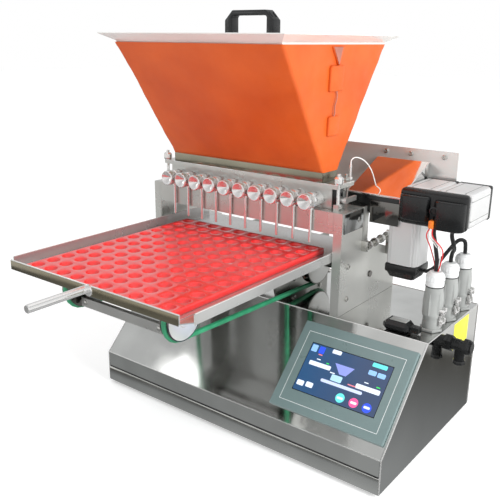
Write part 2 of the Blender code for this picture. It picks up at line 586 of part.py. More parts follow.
# ---------------------------------------------------------------- clamp bolts
SWING_Y, SWING_PIVOT_Z = 0.163, 0.4050
SWING_X = FLANGE_HALF - 0.002         # from the middle of the bridge
EYE_HALF, PIN_RADIUS = 0.0035, 0.0019


def build_clamps():
    for side, name in ((-1, "clamp_bolt_left"), (1, "clamp_bolt_right")):
        x = CENTRE_X + side * SWING_X
        eye = 0.0055
        nut_low = FLANGE_TOP + GAP
        bolt = rod(name, (x, SWING_Y - EYE_HALF, SWING_PIVOT_Z), (x, SWING_Y + EYE_HALF, SWING_PIVOT_Z), eye, CHROME,
                   sides=16)
        shank = rod(name + "_shank", (x, SWING_Y, SWING_PIVOT_Z + 0.003), (x, SWING_Y, nut_low + 0.018), 0.0032,
                    group=cutters, sides=12)
        nut = turned(name + "_nut", [(0, 0.013), (0.006, 0.013), (0.0085, 0.0105), (0.0085, 0.003),
                                     (0.0075, 0), (0, 0)], (x, SWING_Y, nut_low), (0, 0, 1), group=cutters, sides=16)
        join(bolt, shank, nut)
        cut(bolt, rod(name + "_pin_hole", (x, SWING_Y - 0.01, SWING_PIVOT_Z), (x, SWING_Y + 0.01, SWING_PIVOT_Z),
                      PIN_RADIUS + GAP, group=cutters, sides=12))


# ---------------------------------------------------------------- drives
def build_drives():
    hood = folded("drive_hood", [(HOOD_FRONT, HOOD_BOTTOM), (HOOD_FRONT, HOOD_LIP), (HOOD_REAR - 0.012, HOOD_TOP)],
                  HOOD_LEFT, HOOD_RIGHT, SHEET, MIRROR)
    cheek = [(HOOD_FRONT + 0.001, HOOD_BOTTOM), (HOOD_FRONT + 0.001, HOOD_LIP - 0.001),
             (HOOD_REAR - 0.013, HOOD_TOP - 0.001), (HOOD_REAR - 0.0123, HOOD_BOTTOM)]
    turn = (math.radians(90), 0, math.radians(90))
    join(hood, slab("hood_cheek", cheek, SHEET, (HOOD_RIGHT - SHEET / 2, 0, 0), turn, group=cutters),
         box("hood_floor", (HOOD_LEFT, HOOD_FRONT + 0.001, HOOD_BOTTOM), (HOOD_RIGHT, HOOD_REAR - 0.0125,
                                                                        HOOD_BOTTOM + SHEET), group=cutters))
    box("rear_guard", (0.060, HOOD_REAR - 0.0097, 0.360), (GUARD_RIGHT, HOOD_REAR - 0.0077, GUARD_TOP + 0.001),
        MIRROR)
    cover = box("servo_covers", (COVER_LEFT, COVER_FRONT, COVER_BOTTOM), (COVER_RIGHT, COVER_REAR, COVER_TOP),
                BLACK, rounding=0.008, segments=3)
    middle = (COVER_LEFT + COVER_RIGHT) / 2
    valley = rod("cover_valley", (middle, COVER_FRONT - 0.002, COVER_BOTTOM + 0.020),
                 (middle, COVER_FRONT - 0.002, COVER_TOP - 0.014), 0.010, group=cutters, sides=20)
    cut(cover, valley)
    for name, left in (("piston_servo", COVER_LEFT), ("valve_servo", COVER_RIGHT - SERVO)):
        box(name, (left, COVER_REAR + GAP, SERVO_Z - SERVO / 2), (left + SERVO, SERVO_REAR, SERVO_Z + SERVO / 2),
            ALUMINIUM, rounding=0.005, segments=2)
    x, y, half = LIFT_SERVO_X, LIFT_SERVO_Y, LIFT_SERVO_HALF
    box("lift_servo", (x - half, y - half, LIFT_CAP_TOP + GAP), (x + half, y + half, COVER_BOTTOM - GAP), ALUMINIUM,
        rounding=0.006, segments=2)
    box("lift_servo_cap", (x - half, y - half, LIFT_CAP_BOTTOM), (x + half, y + half, LIFT_CAP_TOP), BLACK,
        rounding=0.007, segments=2)


# ---------------------------------------------------------------- connectors and leads
def build_connectors():
    bottom = DECK_TOP + GAP
    height = PLUG_TOP - bottom
    r = PLUG_RADIUS
    profile = [(0, height), (0.0085, height), (0.0140, height - 0.003), (0.0140, height - 0.022),
               (0.0150, height - 0.023), (0.0150, height - 0.034), (r - 0.001, height - 0.044), (r - 0.001, 0.034),
               (0.0145, 0.030), (0.0145, 0.020), (r, 0.016), (r, 0.005), (0.0165, 0.005), (0.0165, 0), (0, 0)]
    for k, y in enumerate(PLUG_Y):
        turned(f"deck_plug_{k + 1}", profile, (PLUG_X, y, bottom), (0, 0, 1), GREY, sides=14)
    hood = box("signal_plug", (0.528, 0.148, bottom), (0.575, 0.180, bottom + 0.018), BLACK, rounding=0.006,
               segments=1)
    join(hood, box("signal_plug_neck", (0.560, 0.157, bottom + 0.003), (0.590, 0.171, bottom + 0.013),
                   group=cutters))
    y, z = 0.236, 0.181
    start = BASE_WIDTH + GAP
    gland = rod("side_gland", (start, y, z), (GLAND_END, y, z), 0.010, BLACK, sides=20)
    join(gland, rod("gland_flange", (start, y, z), (start + 0.006, y, z), 0.015, group=cutters, sides=6),
         rod("gland_leg", (start + 0.020, y, z), (start + 0.020, y, z - 0.034), 0.009, group=cutters, sides=16),
         rod("gland_collar", (start + 0.027, y, z), (GLAND_END - 0.002, y, z), 0.013, group=cutters, sides=8))


LEAD_RADIUS = 0.0035
LEAD_START, LEAD_END = COVER_BOTTOM - 0.0006, PLUG_TOP + 0.0006
LEAD_ROUTES = (
    ("lead_piston_servo", ((0.575, 0.223, LEAD_START), (0.575, 0.223, LEAD_START - 0.008),
                           (0.580, 0.220, 0.357), (0.586, 0.213, 0.344), (0.592, 0.204, 0.334),
                           (0.594, 0.200, LEAD_END + 0.008), (0.594, 0.200, LEAD_END))),
    ("lead_valve_servo", ((0.606, 0.224, LEAD_START), (0.606, 0.224, LEAD_START - 0.008),
                          (0.607, 0.232, 0.357), (0.604, 0.246, 0.345), (0.597, 0.258, 0.335),
                          (0.594, 0.262, LEAD_END + 0.008), (0.594, 0.262, LEAD_END))),
    ("lead_lift_servo", ((0.5437, 0.268, 0.289), (0.551, 0.268, 0.289), (0.561, 0.278, 0.297),
                         (0.573, 0.296, 0.322), (0.584, 0.313, 0.341), (0.592, 0.325, 0.339),
                         (0.594, 0.327, LEAD_END + 0.008), (0.594, 0.327, LEAD_END))),
)


def build_leads():
    for name, route in LEAD_ROUTES:
        tube(name, smooth_route(route), LEAD_RADIUS, BLACK)


build_base()
build_terminal()
build_bridge()
build_conveyor()
build_tray()
build_block()
build_hopper()
build_clamps()
build_drives()
build_connectors()
build_leads()
bpy.context.view_layer.update()
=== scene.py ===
"""Looks of a bench-top depositor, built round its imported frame.

Every place is given with at(x, y, z), in metres from the front left corner of the base at floor level:
+X to the right, +Y to the rear, +Z up.
"""

import json
import math

import bmesh
import bpy
from mathutils import Matrix, Vector, noise


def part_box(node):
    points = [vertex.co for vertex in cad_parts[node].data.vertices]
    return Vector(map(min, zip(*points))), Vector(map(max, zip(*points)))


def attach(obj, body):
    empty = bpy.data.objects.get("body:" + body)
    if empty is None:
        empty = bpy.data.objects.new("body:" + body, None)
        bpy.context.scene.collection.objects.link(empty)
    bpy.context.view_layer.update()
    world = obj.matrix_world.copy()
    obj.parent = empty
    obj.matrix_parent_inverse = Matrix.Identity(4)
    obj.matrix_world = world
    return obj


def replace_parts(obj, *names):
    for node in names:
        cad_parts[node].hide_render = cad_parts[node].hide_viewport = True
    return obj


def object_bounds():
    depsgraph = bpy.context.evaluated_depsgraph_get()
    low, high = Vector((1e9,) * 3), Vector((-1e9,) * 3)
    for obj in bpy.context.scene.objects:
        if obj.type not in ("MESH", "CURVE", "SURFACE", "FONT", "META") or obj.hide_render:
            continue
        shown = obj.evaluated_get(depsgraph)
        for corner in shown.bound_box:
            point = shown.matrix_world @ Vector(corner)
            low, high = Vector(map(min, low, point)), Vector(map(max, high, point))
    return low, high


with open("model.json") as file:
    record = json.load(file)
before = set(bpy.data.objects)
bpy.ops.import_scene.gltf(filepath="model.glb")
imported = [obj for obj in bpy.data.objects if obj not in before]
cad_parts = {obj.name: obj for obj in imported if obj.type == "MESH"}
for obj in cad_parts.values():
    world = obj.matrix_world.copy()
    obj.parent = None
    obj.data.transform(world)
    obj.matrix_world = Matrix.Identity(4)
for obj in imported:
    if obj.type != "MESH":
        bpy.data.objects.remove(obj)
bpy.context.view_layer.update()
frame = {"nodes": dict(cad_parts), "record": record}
nodes = frame["nodes"]

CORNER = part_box("base_end_left")[0]
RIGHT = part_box("base_end_right")[1].x - CORNER.x
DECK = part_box("base_shell")[1].z
SKIRT_TOP, DECK_FRONT = 0.068, 0.142         # the two folds of the base's front
SLOPE = math.atan2(DECK - SKIRT_TOP, DECK_FRONT)


def at(x, y, z):
    return Vector((CORNER.x + x, CORNER.y + y, z))


def on_slope(across, up, proud=0.0):
    """A point of the slanted face: across it, up it, and proud of it."""
    return at(across, up * math.cos(SLOPE) - proud * math.sin(SLOPE),
        SKIRT_TOP + up * math.sin(SLOPE) + proud * math.cos(SLOPE))


def measured(node):
    """A node's lowest and highest corner, from the front left corner of the base."""
    low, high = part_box(node)
    shift = Vector((CORNER.x, CORNER.y, 0))
    return low - shift, high - shift


def add_node(tree, kind):
    return tree.nodes.new("ShaderNode" + kind)


# ---- camera, light and floor
def build_studio():
    yaw, pitch, roll = math.radians(37.51), math.radians(17.11), math.radians(0.6)
    ahead = Vector((-math.sin(yaw) * math.cos(pitch), math.cos(yaw) * math.cos(pitch), -math.sin(pitch)))
    side = Vector((math.cos(yaw), math.sin(yaw), 0))
    up = side.cross(ahead)
    across = side * math.cos(roll) + up * math.sin(roll)
    up = across.cross(ahead)
    lens = bpy.data.cameras.new("camera")
    lens.sensor_width, lens.lens = 36, 49.58
    lens.clip_start, lens.clip_end = 0.05, 50
    camera = bpy.data.objects.new("camera", lens)
    turn = Matrix((across, up, -ahead)).transposed().to_4x4()
    camera.matrix_world = Matrix.Translation(at(1.006, -0.842, 0.681)) @ turn
    bpy.context.scene.collection.objects.link(camera)
    bpy.context.scene.camera = camera

    scene = bpy.context.scene
    scene.view_settings.view_transform = "Standard"
    scene.view_settings.look = "None"
    world = bpy.data.worlds.new("studio")
    scene.world = world
    world.use_nodes = True
    tree = world.node_tree
    tree.nodes.clear()
    place = add_node(tree, "TexCoord")
    level = add_node(tree, "VectorMath")
    level.operation = "DOT_PRODUCT"
    level.inputs[1].default_value = (0.0, 0.045, 0.5)
    clutter = add_node(tree, "TexNoise")
    clutter.inputs["Scale"].default_value = 2.2
    shift, ramp = add_node(tree, "Math"), add_node(tree, "ValToRGB")
    shift.operation = "MULTIPLY_ADD"
    shift.inputs[1].default_value = 0.05
    lift = add_node(tree, "Math")
    lift.inputs[1].default_value = 0.475
    stops = ((0.0, (0.38, 0.39, 0.39)), (0.17, (0.3, 0.31, 0.31)), (0.25, (0.27, 0.28, 0.28)),
        (0.285, (0.17, 0.175, 0.175)), (0.326, (0.07, 0.068, 0.06)), (0.338, (0.8, 0.8, 0.78)),
        (0.42, (0.84, 0.85, 0.84)), (0.52, (1.0, 1.0, 1.0)), (0.65, (0.8, 0.81, 0.82)),
        (0.85, (0.5, 0.51, 0.51)), (0.93, (1.0, 1.0, 1.0)))
    while len(ramp.color_ramp.elements) < len(stops):
        ramp.color_ramp.elements.new(0.5)
    for element, (position, colour) in zip(ramp.color_ramp.elements, stops):
        element.position = position
        element.color = (*colour, 1)
    seen, wall, room = (add_node(tree, kind) for kind in ("LightPath", "Background", "Background"))
    wall.inputs["Color"].default_value = (1, 1, 1, 1)
    room.inputs["Strength"].default_value = 0.95
    mix, out = add_node(tree, "MixShader"), add_node(tree, "OutputWorld")
    for start, socket, end, entry in ((place, "Generated", level, 0), (place, "Generated", clutter, 0),
            (clutter, "Fac", shift, 0), (level, "Value", lift, 0), (lift, 0, shift, 2), (shift, 0, ramp, 0),
            (ramp, 0, room, 0), (seen, "Is Camera Ray", mix, 0), (room, 0, mix, 1), (wall, 0, mix, 2),
            (mix, 0, out, 0)):
        tree.links.new(start.outputs[socket], end.inputs[entry])

    target = at(0.25, 0.1, 0.35)
    for name, place_at, size, energy, mirrored in (("key", at(2.3, -0.1, 1.1), 0.9, 38, False),
            ("front", at(-0.5, -1.8, 1.7), 1.2, 5, False), ("glare", at(-0.508, -0.537, 0.803), 0.12, 0.11,
            True)):
        lamp = bpy.data.lights.new(name, "AREA")
        lamp.size, lamp.energy = size, energy
        light = bpy.data.objects.new(name, lamp)
        light.location = place_at
        light.rotation_euler = (target - place_at).to_track_quat("-Z", "Y").to_euler()
        light.visible_glossy = mirrored
        light.visible_diffuse = not mirrored
        scene.collection.objects.link(light)

    work = bmesh.new()
    bmesh.ops.create_grid(work, x_segments=1, y_segments=1, size=12)
    mesh = bpy.data.meshes.new("floor")
    work.to_mesh(mesh)
    work.free()
    floor = bpy.data.objects.new("floor", mesh)
    floor.location.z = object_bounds()[0][2] - 0.0002
    floor.visible_glossy = False
    scene.collection.objects.link(floor)
    look, shader = plain("floor_white", (0.93, 0.93, 0.93), 0.9)
    shader.inputs["Emission Color"].default_value = (1, 1, 1, 1)
    shader.inputs["Emission Strength"].default_value = 0.32
    mesh.materials.append(look)


# ---- materials
def plain(name, colour, roughness, metallic=0.0, coat=0.0):
    look = bpy.data.materials.new(name)
    look.use_nodes = True
    shader = look.node_tree.nodes["Principled BSDF"]
    shader.inputs["Base Color"].default_value = (*colour, 1)
    shader.inputs["Roughness"].default_value = roughness
    shader.inputs["Metallic"].default_value = metallic
    shader.inputs["Coat Weight"].default_value = coat
    return look, shader


def noise_of(look, scale, detail=3.0, stretch=(1, 1, 1)):
    """A noise texture over the piece's own metres, stretched along chosen axes."""
    tree = look.node_tree
    place, mapping = add_node(tree, "TexCoord"), add_node(tree, "Mapping")
    texture = add_node(tree, "TexNoise")
    mapping.inputs["Scale"].default_value = stretch
    texture.inputs["Scale"].default_value = scale
    texture.inputs["Detail"].default_value = detail
    tree.links.new(place.outputs["Object"], mapping.inputs["Vector"])
    tree.links.new(mapping.outputs["Vector"], texture.inputs["Vector"])
    return texture.outputs["Fac"]


def vary(look, socket, texture, low, high, start=0.3, end=0.7):
    """Runs one of the shader's values, a number or a colour, from low to high over a texture."""
    tree = look.node_tree
    target = tree.nodes["Principled BSDF"].inputs[socket]
    if isinstance(low, (int, float)):
        mapped = add_node(tree, "MapRange")
        for key, number in zip(("From Min", "From Max", "To Min", "To Max"), (start, end, low, high)):
            mapped.inputs[key].default_value = number
        tree.links.new(texture, mapped.inputs["Value"])
        tree.links.new(mapped.outputs["Result"], target)
        return
    ramp = add_node(tree, "ValToRGB")
    for element, position, colour in zip(ramp.color_ramp.elements, (start, end), (low, high)):
        element.position, element.color = position, (*colour, 1)
    tree.links.new(texture, ramp.inputs["Fac"])
    tree.links.new(ramp.outputs["Color"], target)


def bumps(look, *layers):
    """Chains bump layers, each (height socket, strength, depth in metres), into the shader's normal."""
    tree = look.node_tree
    last = None
    for height, strength, depth in layers:
        bump = add_node(tree, "Bump")
        bump.inputs["Strength"].default_value = strength
        bump.inputs["Distance"].default_value = depth
        tree.links.new(height, bump.inputs["Height"])
        if last:
            tree.links.new(last, bump.inputs["Normal"])
        last = bump.outputs["Normal"]
    tree.links.new(last, tree.nodes["Principled BSDF"].inputs["Normal"])


def steel(name, colour, smooth, rough, wave, grain=None, grain_depth=0.00002, metallic=1.0, shading=0.9):
    """Stainless sheet: smudged polish, a slow wave in the sheet, and optional brushing lines."""
    look, _ = plain(name, colour, smooth, metallic)
    vary(look, "Roughness", noise_of(look, 14, 5), smooth, rough)
    shade = [channel * shading for channel in colour]
    vary(look, "Base Color", noise_of(look, 6, 3), shade, colour)
    layers = [(noise_of(look, 7, 1), 0.35, wave)]
    if grain:
        layers.append((noise_of(look, 1.0, 2, grain), 0.5, grain_depth))
    bumps(look, *layers)
    return look


def moulded(name, colour, roughness, grain=1400, depth=0.00004, coat=0.0, variation=0.12):
    """Plastic or rubber with a fine moulded grain and a slight unevenness of colour."""
    look, _ = plain(name, colour, roughness, coat=coat)
    dark = [channel * (1 - variation) for channel in colour]
    light = [min(1, channel * (1 + variation)) for channel in colour]
    vary(look, "Base Color", noise_of(look, 35, 4), dark, light)
    vary(look, "Roughness", noise_of(look, 60, 3), roughness * 0.8, roughness * 1.2)
    bumps(look, (noise_of(look, grain, 2), 0.4, depth))
    return look


MIRROR = steel("mirror_polished_sheet", (0.84, 0.84, 0.83), 0.035, 0.1, 0.001)
PALE_SHEET = steel("pale_polished_sheet", (0.9, 0.9, 0.88), 0.16, 0.26, 0.0006, metallic=0.6)
HOPPER_SHEET = steel("hopper_sheet", (0.93, 0.93, 0.9), 0.18, 0.28, 0.0004, metallic=0.25)
BASE_SHEET = steel("base_sheet", (0.86, 0.86, 0.84), 0.05, 0.17, 0.001, (16, 420, 420), 0.00002, shading=0.72)
TRAY_SHEET = steel("tray_sheet", (0.66, 0.66, 0.65), 0.18, 0.3, 0.0005, (420, 16, 420), metallic=0.72)
# Painted reflection: the dark olive tint stands in for the yellowish reflection on the hopper's stainless
# neck.
NECK_REFLECTION_SHEET = steel("neck_painted_reflection_sheet", (0.42, 0.39, 0.3), 0.16, 0.28, 0.0008, (12, 420, 420), shading=0.6)
PLATE_SHEET = steel("conveyor_plate_sheet", (0.36, 0.36, 0.34), 0.2, 0.32, 0.0004, (420, 16, 420))
OLIVE_SHEET = steel("olive_sheet", (0.36, 0.32, 0.23), 0.2, 0.32, 0.0004, (16, 420, 420))
HOOD_SHEET = steel("hood_sheet", (0.86, 0.86, 0.84), 0.03, 0.07, 0.0003)
SATIN = steel("satin_sheet", (0.72, 0.72, 0.69), 0.24, 0.36, 0.0004, (12, 420, 420), 0.00004, metallic=0.8,
    shading=0.8)
BRUSHED = steel("brushed_sheet", (0.74, 0.73, 0.71), 0.24, 0.36, 0.0003, (900, 20, 900), metallic=0.9)
DARK_SHEET = steel("shaded_sheet", (0.2, 0.19, 0.18), 0.1, 0.18, 0.0006)
END_SHEET = steel("beam_end_sheet", (0.4, 0.41, 0.41), 0.1, 0.2, 0.0012)
CHROME = steel("turned_chrome", (0.92, 0.91, 0.9), 0.08, 0.16, 0.0001, (900, 120, 900), 0.00001, metallic=0.8)
ALUMINIUM = steel("anodised_aluminium", (0.86, 0.86, 0.86), 0.34, 0.44, 0.0002, (900, 900, 40), metallic=0.6)
NUT_STEEL = steel("nut_steel", (0.7, 0.69, 0.66), 0.15, 0.28, 0.0001)
BLACK = moulded("black_moulding", (0.006, 0.0065, 0.007), 0.26, coat=0.1)
SATIN_BLACK = moulded("black_cable_sheath", (0.01, 0.01, 0.011), 0.42)
GREY = moulded("grey_connector", (0.31, 0.32, 0.31), 0.34, coat=0.2, variation=0.08)
PALE = moulded("pale_gland_nut", (0.72, 0.73, 0.73), 0.38)
RUBBER = moulded("foot_rubber", (0.02, 0.02, 0.02), 0.75, 600, 0.0001)
GREEN = moulded("green_belt", (0.03, 0.27, 0.13), 0.48, 900, 0.0001, variation=0.25)
BEZEL = moulded("terminal_bezel", (0.18, 0.25, 0.25), 0.34, 2200, 0.00001, coat=0.2, variation=0.03)
CONTROL = moulded("control_case", (0.28, 0.29, 0.3), 0.5)
CONNECTOR_ORANGE = moulded("orange_connector", (0.85, 0.2, 0.02), 0.4)
LINING = moulded("jacket_lining", (0.4, 0.15, 0.11), 0.5)
WIRE_RED = moulded("red_wire", (0.62, 0.02, 0.02), 0.4)
WIRE_WHITE = moulded("white_wire", (0.8, 0.8, 0.78), 0.4)
STICKER = moulded("yellow_sticker", (0.92, 0.86, 0.05), 0.45, variation=0.03)
PRINT = moulded("bezel_line", (0.9, 0.93, 0.93), 0.45, variation=0.02)


def orange_silicone():
    look, _ = plain("orange_silicone", (0.78, 0.12, 0.015), 0.5)
    vary(look, "Base Color", noise_of(look, 9, 4), (0.58, 0.088, 0.01), (0.7, 0.122, 0.014))
    vary(look, "Roughness", noise_of(look, 30, 4), 0.4, 0.58)
    bumps(look, (noise_of(look, 24, 3), 0.35, 0.0012), (noise_of(look, 1500, 2), 0.35, 0.00008))
    return look


def red_silicone():
    look, shader = plain("red_silicone", (0.88, 0.035, 0.035), 0.3)
    vary(look, "Base Color", noise_of(look, 18, 4), (0.84, 0.028, 0.028), (0.93, 0.05, 0.048))
    vary(look, "Roughness", noise_of(look, 40, 5), 0.3, 0.44)
    shader.inputs["Subsurface Weight"].default_value = 0.15
    shader.inputs["Subsurface Scale"].default_value = 0.004
    shader.inputs["Coat Weight"].default_value = 0.72
    shader.inputs["Coat IOR"].default_value = 1.62
    shader.inputs["Coat Roughness"].default_value = 0.14
    bumps(look, (noise_of(look, 55, 3), 0.45, 0.0008), (noise_of(look, 1400, 2), 0.3, 0.00004))
    return look


def display(name, colour, strength=0.75):
    """A lit patch of the display, under its glossy window."""
    look, shader = plain(name, [channel * 0.4 for channel in colour], 0.16)
    shader.inputs["Emission Color"].default_value = (*colour, 1)
    shader.inputs["Emission Strength"].default_value = strength
    return look


def display_ground():
    look = display("display_ground", (0.05, 0.12, 0.26), 0.6)
    tree = look.node_tree
    place, axes = add_node(tree, "TexCoord"), add_node(tree, "SeparateXYZ")
    tree.links.new(place.outputs["Generated"], axes.inputs[0])
    vary(look, "Emission Color", axes.outputs["X"], (0.035, 0.11, 0.26), (0.07, 0.075, 0.13), 0.1, 0.8)
    return look


def lean(look, amount):
    """Leans the shading normal forwards, as a sheet bowed by its welds does."""
    tree = look.node_tree
    face, sum_of, unit = (add_node(tree, kind) for kind in ("NewGeometry", "VectorMath", "VectorMath"))
    sum_of.inputs[1].default_value = (0.0, -amount, 0.0)
    unit.operation = "NORMALIZE"
    tree.links.new(face.outputs["Normal"], sum_of.inputs[0])
    tree.links.new(sum_of.outputs[0], unit.inputs[0])
    tree.links.new(unit.outputs[0], tree.nodes["Principled BSDF"].inputs["Normal"])


lean(HOOD_SHEET, 0.45)
ORANGE = orange_silicone()
RED = red_silicone()


# ---- shapes
DOME_HEAD = ((0.0042, 0), (0.0038, 0.0016), (0.0018, 0.0024), (0, 0.0025))


def socket_head(radius, shoulder, crown, tall, hole, floor):
    """The profile of a round screw head with a socket in it."""
    return (radius, 0), (radius, shoulder), (crown, tall), (hole, tall), (hole, floor)


def soften(part, edges, radius, segments=2):
    bmesh.ops.bevel(part, geom=edges, offset=radius, segments=segments, affect="EDGES", profile=0.5)


def uprights(part):
    return [e for e in part.edges if abs(e.verts[0].co.z - e.verts[1].co.z) > 0.01]


class Shape:
    """Collects closed solids, and turns them into one piece."""

    def __init__(self):
        self.work = bmesh.new()

    def add(self, part, matrix=None):
        if matrix:
            bmesh.ops.transform(part, matrix=matrix, verts=part.verts)
        mesh = bpy.data.meshes.new("part")
        part.to_mesh(mesh)
        part.free()
        self.work.from_mesh(mesh)
        bpy.data.meshes.remove(mesh)
        return self

    def block(self, low, high, rounding=0.0, segments=2, turn=None):
        """A block between two corners. turn is a rotation about its middle."""
        low, high = Vector(low), Vector(high)
        part = bmesh.new()
        bmesh.ops.create_cube(part, size=1)
        bmesh.ops.scale(part, vec=high - low, verts=part.verts)
        if rounding:
            soften(part, part.edges[:], rounding, segments)
        matrix = Matrix.Translation((low + high) / 2)
        return self.add(part, matrix @ turn.to_4x4() if turn else matrix)

    def turned(self, profile, base, axis, sides=36, phase=0.0):
        """A solid of revolution about an axis through base, from (radius, distance along the axis) points.

        A profile that isn't a closed ring is closed on the axis.
        """
        first, last = profile[0], profile[-1]
        if first != last:
            profile = [(0, first[1])] * (first[0] > 0) + [*profile] + [(0, last[1])] * (last[0] > 0)
        part = bmesh.new()
        rings = []
        for radius, along in profile:
            if radius == 0:
                rings.append([part.verts.new((0, 0, along))])
                continue
            angles = [math.tau * (k + phase) / sides for k in range(sides)]
            rings.append([part.verts.new((radius * math.cos(a), radius * math.sin(a), along))
                for a in angles])
        for near, far in zip(rings, rings[1:]):
            for k in range(sides):
                corners = [near[k % len(near)], near[(k + 1) % len(near) if len(near) > 1 else 0],
                    far[(k + 1) % len(far) if len(far) > 1 else 0], far[k % len(far)]]
                part.faces.new(list(dict.fromkeys(corners)))
        turn = Vector(axis).to_track_quat("Z", "Y").to_matrix().to_4x4()
        return self.add(part, Matrix.Translation(base) @ turn)

    def rod(self, start, end, radius, sides=24, chamfer=0.0, end_radius=None):
        start, end = Vector(start), Vector(end)
        length = (end - start).length
        far = radius if end_radius is None else end_radius
        profile = [(radius - chamfer, 0)]
        if chamfer:
            profile += [(radius, chamfer), (far, length - chamfer)]
        profile += [(far - chamfer, length)]
        return self.turned(profile, start, end - start, sides)

    def hexagon(self, start, end, flats):
        """A hexagon nut or bolt head with chamfered corners, from start to end."""
        start, end = Vector(start), Vector(end)
        length, corner = (end - start).length, flats / math.sqrt(3)
        profile = [(corner * 0.93, 0), (corner, length * 0.12), (corner, length * 0.88),
            (corner * 0.93, length)]
        return self.turned(profile, start, end - start, 6)

    def prism(self, outline, matrix, depth, rounding=0.0, segments=2):
        """A flat outline drawn in local X and Y, made depth thick along local Z from the matrix's origin."""
        part = bmesh.new()
        face = part.faces.new([part.verts.new((x, y, 0)) for x, y in outline])
        grown = bmesh.ops.extrude_face_region(part, geom=[face])
        bmesh.ops.translate(part, vec=(0, 0, depth), verts=[v for v in grown["geom"]
            if isinstance(v, bmesh.types.BMVert)])
        if rounding:
            soften(part, part.edges[:], rounding, segments)
        return self.add(part, matrix)

    def sweep(self, points, radius, sides=12):
        """A round tube with closed ends along a list of points."""
        points = [Vector(p) for p in points]
        part = bmesh.new()
        rings = []
        ahead = (points[1] - points[0]).normalized()
        side = ahead.orthogonal().normalized()
        for k, point in enumerate(points):
            ahead = (points[min(k + 1, len(points) - 1)] - points[max(k - 1, 0)]).normalized()
            side = (side - ahead * side.dot(ahead)).normalized()
            other = ahead.cross(side)
            rings.append([part.verts.new(point + radius * (side * math.cos(a) + other * math.sin(a)))
                for a in (math.tau * j / sides for j in range(sides))])
        for near, far in zip(rings, rings[1:]):
            for j in range(sides):
                part.faces.new((near[j], near[(j + 1) % sides], far[(j + 1) % sides], far[j]))
        part.faces.new(rings[0])
        part.faces.new(rings[-1])
        return self.add(part)

    def piece(self, name, look, slot=None, body="frame", sharp=35):
        """Makes the piece. Its slot argument is not used."""
        bmesh.ops.recalc_face_normals(self.work, faces=self.work.faces)
        mesh = bpy.data.meshes.new(name)
        self.work.to_mesh(mesh)
        self.work.free()
        mesh.shade_smooth()
        mesh.set_sharp_from_angle(angle=math.radians(sharp))
        mesh.materials.append(look)
        made = bpy.data.objects.new(name, mesh)
        bpy.context.scene.collection.objects.link(made)
        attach(made, body)
        return made


def curve_through(points, steps=6):
    """Points on a Catmull-Rom curve through the given ones."""
    spots = [Vector(p) for p in points]
    spots = [2 * spots[0] - spots[1], *spots, 2 * spots[-1] - spots[-2]]
    route = []
    for a, b, c, d in zip(spots, spots[1:], spots[2:], spots[3:]):
        for k in range(steps):
            t = k / steps
            route.append(0.5 * (2 * b + (c - a) * t + (2 * a - 5 * b + 4 * c - d) * t * t
                                + (3 * b - a - 3 * c + d) * t ** 3))
    return [*route, spots[-2]]


def facing(origin, across, up):
    """A matrix whose local X runs along across and local Y along up, with its origin at a point."""
    across, up = Vector(across).normalized(), Vector(up).normalized()
    turn = Matrix((across, up, across.cross(up))).transposed().to_4x4()
    return Matrix.Translation(origin) @ turn


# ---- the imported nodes' own surfaces
def dress_nodes():
    looks = {"mirror_steel": MIRROR, "brushed_steel": BRUSHED, "polished_heads": CHROME,
        "aluminium": ALUMINIUM, "black_plastic": BLACK, "plug_grey": GREY, "foot_rubber": RUBBER,
        "belt_green": GREEN, "silicone_orange": ORANGE, "silicone_red": RED, "terminal_grey": BEZEL,
        "screen_glass": BLACK, "control_case": CONTROL,}
    own = {"bridge_beam": SATIN, "hopper_flange": SATIN, "piston_block": SATIN,
        "bridge_upright_left": SATIN, "bridge_upright_right": SATIN, "rear_guard": PALE_SHEET,
        "hopper_shell": HOPPER_SHEET, "base_shell": BASE_SHEET, "mould_tray": TRAY_SHEET,
        "drive_hood": HOOD_SHEET, "front_idler": DARK_SHEET, "drive_roller": DARK_SHEET,
        "conveyor_front_bar": BRUSHED, "conveyor_plate_left": PLATE_SHEET,
        "conveyor_plate_right": PLATE_SHEET, "lead_piston_servo": SATIN_BLACK,
        "lead_valve_servo": SATIN_BLACK, "lead_lift_servo": SATIN_BLACK}
    for entry in frame["record"]["subparts"]:
        node = nodes[entry["node"]]
        look = own.get(entry["node"], looks[entry["material_slot"]])
        node.data.materials.clear()
        node.data.materials.append(look)
        node.data.shade_smooth()
        node.data.set_sharp_from_angle(angle=math.radians(35))


